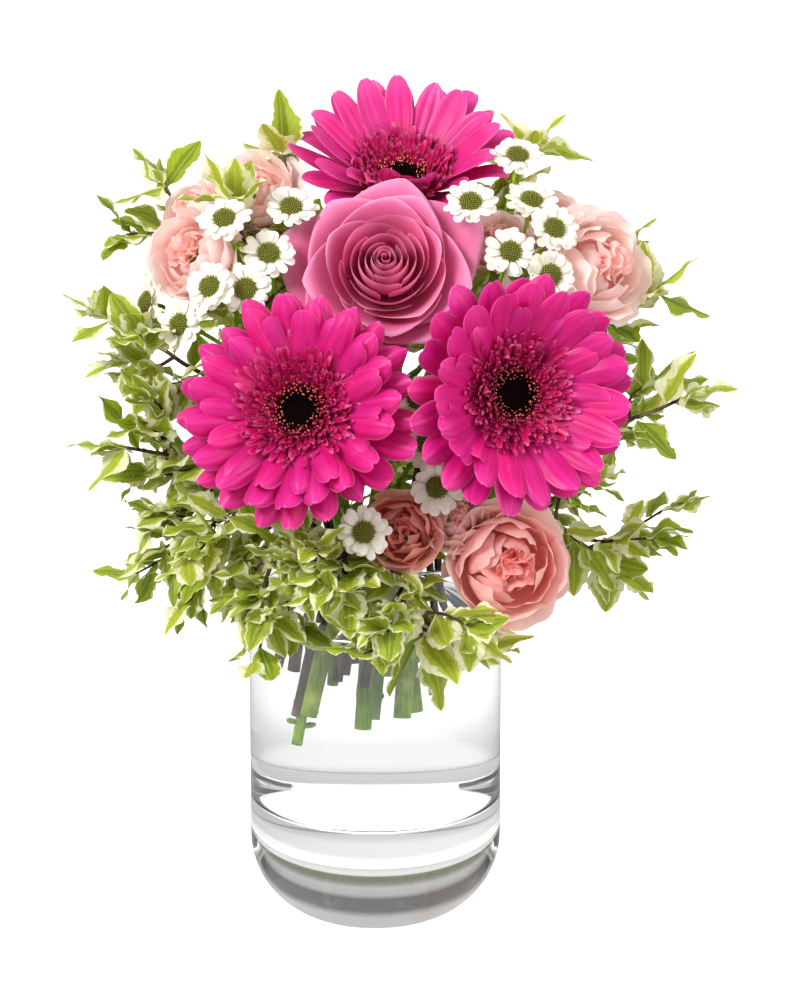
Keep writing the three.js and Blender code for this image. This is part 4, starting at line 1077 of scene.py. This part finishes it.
for name, spray in daisySprays.items():
    draw = np.random.default_rng(90 + len(name))
    solid = solidOf(f"daisy_spray_{name}")
    fork = np.array(spray["fork"], float)
    petals, eyes, stems = Bunch(), Bunch(), Bunch()
    line = mainLine(solid, fork, 5.5)
    stems.tube(line, daisy["stem"], 12, 0.5, 0.3)
    for k in range(spray.get("stubs", 0)):  # where leaves were pulled off
        at = line[np.argmin(np.abs(line[:, 2] - line[0, 2] - 8 - 3.5 * k))]
        out = np.array([math.cos(2.6 * k + 0.4), math.sin(2.6 * k + 0.4), draw.uniform(0.1, 0.6)])
        reach = np.array([0, 0.4, 0.75, 1.0])[:, None] * draw.uniform(4.2, 7.0)
        stems.tube(at + reach * out, [1.0, 1.3, 1.5, 0.8], 9, draw.uniform(), 0.9)
    for spot in spray["heads"]:
        place = headPlace(solid, spot)
        daisyHead(petals, eyes, place, draw)
        cup = revolved(np.array([0.9, 2.6, 4.2, 4.6]), np.array([-2.8, -2.2, -0.8, 0.3]), 16)
        stems.sheet(put(place, cup), 0.5, 0.0, 0.6, 0.3, closed=True)
        stems.tube(sideLine(solid, place, -3.0, -1.5, fork, 3.8), daisy["stem"] / 2, 8, 0.5, 0.3)
    petals.piece(f"daisy_{name}_petals", daisySkin, "daisy_petal", [f"daisy_spray_{name}"])
    eyes.piece(f"daisy_{name}_eyes", eyeMaterial, "daisy_petal")
    stems.piece(f"daisy_{name}_stems", greenStem, "green_stem")
print("daisies made")


# Variegated foliage

# half: half a leaf's width as a share of its length; beyond: how far the leaves may pass the solids' box
foliage = dict(
    half=0.31, extra=13, shoots=6, shootLeaves=8, lowest=150.0, beyond=9.0, clear=3.2,
    tips=dict(
        left_upper=(-124, -4, 294), left_crown=(-98, 26, 350), left_middle=(-116, -12, 234),
        left_low=(-96, -34, 192), front_left=(-52, -78, 180), front_middle=(-12, -84, 186),
        front_right=(24, -80, 158), right_low=(112, -16, 178), right_middle=(144, -4, 254),
        right_upper=(130, 8, 304), top_left=(-42, 26, 366), top_right=(74, 34, 364),
        between=(-66, -16, 352), back_left=(-84, 88, 296), back_right=(96, 82, 300),
        back_low=(10, 104, 214)))


def obstacles(names):  # the solids that leaves keep clear of
    points, faces = [], []
    for key in names:
        solid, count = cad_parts[key], len(points)
        points += [solid.matrix_world @ v.co * 1000 for v in solid.data.vertices]
        faces += [[count + v for v in p.vertices] for p in solid.data.polygons]
    return BVHTree.FromPolygons(points, faces)


blocked = obstacles(bloomNodes + ["vase"])
daisyBlocks = obstacles([f"daisy_spray_{key}" for key in daisySprays])


# A toothed, waved leaf
def leafSheet(bunch, base, tip, sideways, endHeading, half, draw, rows=26, columns=9):
    t = np.linspace(0, 1, rows)
    s = np.linspace(-1, 1, columns)
    chord = tip - base
    length = np.linalg.norm(chord)
    middle = tip - unit(endHeading) * length * 0.5
    rib = ((1 - t) ** 2)[:, None] * base + (2 * t * (1 - t))[:, None] * middle + (t ** 2)[:, None] * tip
    heading = np.gradient(rib, axis=0)
    heading /= np.linalg.norm(heading, axis=1)[:, None]
    across = sideways - heading * (heading @ sideways)[:, None]
    across /= np.linalg.norm(across, axis=1)[:, None]
    up = np.cross(heading, across)
    shape = np.sin(math.pi * np.clip(t, 0, 1) ** 0.8) ** 0.75
    width = half * np.maximum(shape * smooth(0.02, 0.2, t), 0.05 * (1 - t) + 0.004)
    count, depth = draw.integers(5, 8), draw.uniform(0.1, 0.24)
    wavePhase, waveCount, curl = draw.uniform(0, 6.28), draw.uniform(7, 12), draw.uniform(-0.35, 0.5)
    out = np.zeros((rows, columns, 3))
    for n, side in enumerate(s):
        saw = (t * count + (0.35 if side > 0 else 0.0)) % 1
        tooth = depth * (1 - saw) ** 1.4 * smooth(0.16, 0.3, t)
        notch = 1 - tooth * (1 - smooth(0.93, 1, t)) * abs(side) ** 5
        off = side * width * notch
        wave = np.sin(t * waveCount + wavePhase + (0 if side > 0 else 1.9))
        fold = curl * np.abs(off) + 0.1 * half * wave * 3 * side ** 2 * shape
        out[:, n] = rib + across * off[:, None] + up * fold[:, None]
    bunch.sheet(out, t[:, None], s[None], draw.uniform(), draw.uniform(0.6, 1.0))


def sittable(points, margin):  # clear of the blooms, and inside the object's box
    low = np.array(cadBox[0]) * 1000 - foliage["beyond"]
    high = np.array(cadBox[1]) * 1000 + foliage["beyond"]
    for p in points:
        if (p < low).any() or (p > high).any() or p[2] < foliage["lowest"]:
            return False
        if any(tree.find_nearest(Vector(p), margin)[0] is not None for tree in (blocked, daisyBlocks)):
            return False
        if p[2] < glass["height"] + 2 and math.hypot(p[0], p[1]) < glass["radius"] + margin:
            return False
    return True


# A leaf's tip joins edges that all run one way, and its root is the spot of the twig that they point at
tipSigns = dict(
    insideHeight=185, insideRadius=64, agree=0.55, longest=16, nearest=9, reach=(11, 36), usual=26)


def solidLeaves(solid, line):  # finds each leaf of the solid by its pointed end
    points, pairs = solid
    beside = [[] for _ in points]
    for a, b in pairs:
        beside[a].append(b)
        beside[b].append(a)
    found = []
    for k, near in enumerate(beside):
        x, y, z = points[k]
        inside = z < tipSigns["insideHeight"] and np.hypot(x, y) < tipSigns["insideRadius"]
        if len(near) < 3 or inside:
            continue
        away = points[near] - points[k]
        size = np.linalg.norm(away, axis=1)
        ways = away / size[:, None]
        axis = unit(ways.mean(axis=0))
        if (ways @ axis).min() < tipSigns["agree"] or size.max() > tipSigns["longest"]:
            continue
        off = np.linalg.norm(line - points[k], axis=1)
        if off.min() < tipSigns["nearest"]:
            continue
        gaps = np.linalg.norm(away[:, None] - away[None], axis=2)
        i, j = np.unravel_index(np.argmax(gaps), gaps.shape)
        sideways = unit(away[i] - away[j])
        chord = line - points[k]
        turnAway = np.arccos(np.clip((chord / off[:, None]) @ axis, -1, 1))
        score = turnAway + 0.02 * np.abs(off - tipSigns["usual"])
        score[(off < tipSigns["reach"][0]) | (off > tipSigns["reach"][1])] = 9
        best = int(np.argmin(score))
        if score[best] < 1.0:
            found.append((line[best], points[k], sideways, -axis))
    return found


def freeLeaf(bunch, base, heading, draw, length, tries=7):  # a leaf of its own, where there is room
    for _ in range(tries):
        way = unit(heading + draw.normal(0, 0.34, 3))
        tip = base + way * length
        droop = unit(way + np.array([0, 0, draw.uniform(-0.5, 0.25)]))
        samples = [mix(base, tip, share) for share in (0.45, 0.75, 1.0)]
        if sittable(samples, foliage["clear"]):
            sideways = unit(np.cross(way, np.array([0, 0, 1.0]) + draw.normal(0, 0.35, 3)))
            half = length * foliage["half"] * draw.uniform(0.85, 1.15)
            leafSheet(bunch, base, tip, sideways, droop, half, draw)
            return True
    return False


def branchLine(key, solid, tip, reach=4.2):  # the middle of a branch, from its cut end to its tip
    line = trace(solid, lowEnd(solid[0], 4), (0, 0, 1), reach, 420, 3)
    near = np.linalg.norm(line - np.array(tip), axis=1)
    line = line[:int(np.argmin(near)) + 1]
    if near.min() > 6:  # the walk lost its way, so the far end is walked back to it
        back = trace(solid, tip, line[-1] - tip, reach, near.min() * 1.6, 3)
        apart = np.linalg.norm(line[:, None] - back[None], axis=2)
        here, there = np.unravel_index(np.argmin(apart), apart.shape)
        print(key, "walked back", len(back), "steps")
        line = np.concatenate([line[:here + 1], back[:there][::-1]])
    return eased(line, 4)


def growShoot(leaves, twigs, base, along, draw, count=14):  # a side shoot, where there is room
    for _ in range(8):
        outward = unit(np.cross(along, draw.normal(0, 1, 3)) + 0.9 * along + draw.normal(0, 0.2, 3))
        far = base + outward * draw.uniform(24, 44)
        bowed = mix(base, far, 0.5) + draw.normal(0, 3, 3)
        shoot = curveThrough([base.tolist(), bowed.tolist(), far.tolist()], count)
        if not sittable(shoot[4:], 3.0):
            continue
        twigs.tube(shoot, np.linspace(1.0, 0.5, count), 7, draw.uniform(), 0.3)
        for m in range(foliage["shootLeaves"]):
            at = min(count - 1, 5 + int((count - 5) * m / (foliage["shootLeaves"] - 1)))
            ahead = unit(shoot[min(at + 1, count - 1)] - shoot[at - 1])
            spread = unit(np.cross(ahead, draw.normal(0, 1, 3)))
            freeLeaf(leaves, shoot[at], unit(spread * 0.8 + ahead), draw, draw.uniform(16, 27), 6)
        return


for order, (branch, branchTip) in enumerate(foliage["tips"].items()):
    key = f"branch_{branch}"
    draw = np.random.default_rng(200 + order)
    solid = solidOf(key)
    line = branchLine(key, solid, branchTip)
    leaves, twigs = Bunch(), Bunch()
    found = solidLeaves(solid, line)
    for base, tip, sideways, endHeading in found:
        half = np.linalg.norm(tip - base) * foliage["half"]
        leafSheet(leaves, base, tip, sideways, endHeading, half, draw)
    count = len(line)
    ends = line if count > 6 else curveThrough(line.tolist(), 8)
    twig = curveThrough(ends[::4].tolist() + [ends[-1].tolist()], 90)
    twigs.tube(twig, np.linspace(2.1, 0.8, 90), 10, draw.uniform(), 0.3)
    away = np.hypot(line[:, 0], line[:, 1])
    clearOfGlass = (line[:, 2] > glass["height"] + 12) | (away > glass["radius"] + 5)
    outside = [k for k in range(count - 1) if clearOfGlass[k]]
    free = 0
    for n in range(foliage["extra"] if outside else 0):
        k = outside[int(len(outside) * (n + draw.uniform(0, 0.9)) / foliage["extra"]) % len(outside)]
        along = unit(line[k + 1] - line[k])
        outward = unit(np.cross(along, draw.normal(0, 1, 3)))
        free += freeLeaf(leaves, line[k], unit(outward + 0.7 * along), draw, draw.uniform(20, 31))
    for n in range(foliage["shoots"] if outside else 0):
        share = 0.2 + 0.7 * (n + draw.uniform(0, 0.8)) / foliage["shoots"]
        k = outside[int(len(outside) * share) % len(outside)]
        growShoot(leaves, twigs, line[k], unit(line[k + 1] - line[k]), draw)
    print(key, "has", len(found), "leaves of the solid and", free, "more along the branch")
    twigs.piece(f"{key}_twigs", twigStem, "leaf", [key])
    if leaves.points:
        leaves.piece(f"{key}_leaves", leafSkin, "leaf")
print("foliage made")


# Floor, light and camera

# The floor and the air are white for the eye. Through the clear glass they show soft grey bands: a ring
# of painted shade on the floor round the glass's foot, standing for its shadow (metres from the middle
# where each shade starts and ends, and how much it gives back) and cards in the air (by the height of the
# way looked).
stage = dict(
    floor=0.8, glow=0.8, bounce=0.42, worldPower=0.88, eyePower=1.05, keyPower=49.0, fillPower=17.0,
    ringStart=(0.09, 0.11), ringShade=0.67,
    ringShades=[(0.188, 0.205, 0.1), (0.26, 0.32, 0.17), (0.5, 0.9, 0.4)],
    thinRing=(0.184, 0.002, 0.004, 0.82), warmCard=(1.0, 0.8, 0.66, 1),
    plain=[(0.0, (0.9, 0.9, 0.9)), (1.0, (1.0, 1.0, 1.0))],
    cards=[(0.0, (0.85, 0.85, 0.85)), (0.05, (1.0, 1.0, 0.98)), (0.065, (1.0, 1.0, 0.96)),
           (0.08, (0.25, 0.27, 0.18)), (0.115, (0.24, 0.26, 0.18)), (0.14, (0.34, 0.34, 0.31)),
           (0.175, (0.62, 0.62, 0.62)), (0.235, (0.56, 0.56, 0.55)), (0.27, (0.2, 0.2, 0.2)),
           (0.36, (0.2, 0.2, 0.2)), (0.4, (0.64, 0.64, 0.64)), (0.48, (0.56, 0.56, 0.56)),
           (0.53, (1.0, 1.0, 1.0)), (1.0, (1.0, 1.0, 1.0))])


def raysOfLight(tree):  # those that come through clear glass, and those that only bring light
    path = node(tree, "ShaderNodeLightPath")
    glassy = sums(tree, "SUBTRACT", path.outputs["Is Transmission Ray"], path.outputs["Is Diffuse Ray"])
    glassy = sums(tree, "MAXIMUM", glassy, 0.0)
    seen = sums(tree, "MAXIMUM", path.outputs["Is Camera Ray"], glassy)
    return glassy, sums(tree, "SUBTRACT", 1.0, seen)


floorMesh = bpy.data.meshes.new("floor")
corners = [(x, y, -0.0005) for x, y in ((-4, -4), (4, -4), (4, 4), (-4, 4))]
floorMesh.from_pydata(corners, [], [(0, 1, 2, 3)])
floor = linked("floor", floorMesh)
floorMaterial, tree = startMaterial("paleFloor")
glassy, soft = raysOfLight(tree)
spot = node(tree, "ShaderNodeSeparateXYZ", {"Vector": node(tree, "ShaderNodeTexCoord").outputs["Object"]})
away = sums(tree, "SQRT", sums(tree, "ADD", sums(tree, "MULTIPLY", spot.outputs["X"], spot.outputs["X"]),
                               sums(tree, "MULTIPLY", spot.outputs["Y"], spot.outputs["Y"])))
# painted shadow: the floor darkens in rings round the glass's foot, with a thin darker line, and only
# rays through the glass see it
depth = stage["ringShade"]
for near, far, step in stage["ringShades"]:
    depth = sums(tree, "SUBTRACT", depth, band(tree, away, near, far, 0, step))
ringAt, lineHalf, lineEnd, lineShade = stage["thinRing"]
fromRing = sums(tree, "ABSOLUTE", sums(tree, "SUBTRACT", away, ringAt))
thinRing = band(tree, fromRing, lineHalf, lineEnd, lineShade, 0)
depth = sums(tree, "MAXIMUM", depth, thinRing)
depth = sums(tree, "MULTIPLY", depth, band(tree, away, *stage["ringStart"]))
shade = sums(tree, "SUBTRACT", 1.0, sums(tree, "MULTIPLY", depth, glassy))
tone = sums(tree, "MULTIPLY", shade, band(tree, soft, 0, 1, stage["floor"], stage["bounce"]))
face = node(tree, "ShaderNodeBsdfPrincipled", {
    "Base Color": blendColours(tree, tone, (0, 0, 0, 1), (1, 1, 1, 1)), "Roughness": 0.9,
    "Emission Color": (1, 1, 1, 1),
    "Emission Strength": sums(tree, "MULTIPLY", shade, band(tree, soft, 0, 1, stage["glow"], 0.0))})
node(tree, "ShaderNodeOutputMaterial", {"Surface": face.outputs[0]})
floorMesh.materials.append(floorMaterial)

world = bpy.data.worlds.new("studio")
scene.world = world
world.use_nodes = True
tree = world.node_tree
tree.nodes.clear()
outward = node(tree, "ShaderNodeTexCoord").outputs["Generated"]
way = node(tree, "ShaderNodeSeparateXYZ", {"Vector": outward})


def ramp(stops):  # colours by the height of the way looked
    made = node(tree, "ShaderNodeValToRGB", {"Fac": way.outputs["Z"]})
    places = made.color_ramp.elements
    places[0].position, places[0].color = stops[0][0], (*stops[0][1], 1)
    places[1].position, places[1].color = stops[-1][0], (*stops[-1][1], 1)
    for position, tint in stops[1:-1]:
        places.new(position).color = (*tint, 1)
    return made.outputs[0]


warm = sums(tree, "MULTIPLY", band(tree, way.outputs["X"], -0.2, -0.32), 0.6)  # to the left, and high
for axis, low, high in (("Z", 0.2, 0.24), ("Y", 0.1, 0.3)):
    warm = sums(tree, "MULTIPLY", warm, band(tree, way.outputs[axis], low, high))
cards = blendColours(tree, warm, ramp(stage["cards"]), stage["warmCard"], "MULTIPLY")
around = blendColours(tree, raysOfLight(tree)[0], ramp(stage["plain"]), cards)
seen = node(tree, "ShaderNodeLightPath").outputs["Is Camera Ray"]
sky = node(tree, "ShaderNodeBackground", {
    "Color": blendColours(tree, seen, around, (1, 1, 1, 1)),
    "Strength": band(tree, seen, 0, 1, stage["worldPower"], stage["eyePower"])})
node(tree, "ShaderNodeOutputWorld", {"Surface": sky.outputs[0]})


def softbox(name, at, aim, size, power):
    lamp = bpy.data.lights.new(name, "AREA")
    lamp.shape, lamp.size, lamp.energy = "DISK", size, power
    lit = linked(name, lamp)
    lit.location = at
    lit.rotation_euler = (Vector(aim) - Vector(at)).to_track_quat("-Z", "Y").to_euler()
    lit.visible_transmission = False  # the glass doesn't show the lamp's disc


softbox("keyLight", (-1.2, -1.2, 1.55), (0, 0, 0.25), 0.8, stage["keyPower"])
softbox("fillLight", (1.4, -1.0, 0.9), (0, 0, 0.25), 1.2, stage["fillPower"])

view = dict(tilt=16.0, away=2.0, aim=(0.0118, 0.0, 0.2055), lens=152.75, film=36.0, farthest=50.0)
lens = bpy.data.cameras.new("camera")
lens.lens, lens.sensor_width, lens.clip_end = view["lens"], view["film"], view["farthest"]
camera = linked("camera", lens)
down = math.radians(view["tilt"])
look = Vector((0, math.cos(down), -math.sin(down)))
camera.location = Vector(view["aim"]) - look * view["away"]
camera.rotation_euler = look.to_track_quat("-Z", "Y").to_euler()
scene.camera = camera
scene.view_settings.view_transform = "Standard"
print("stage set")
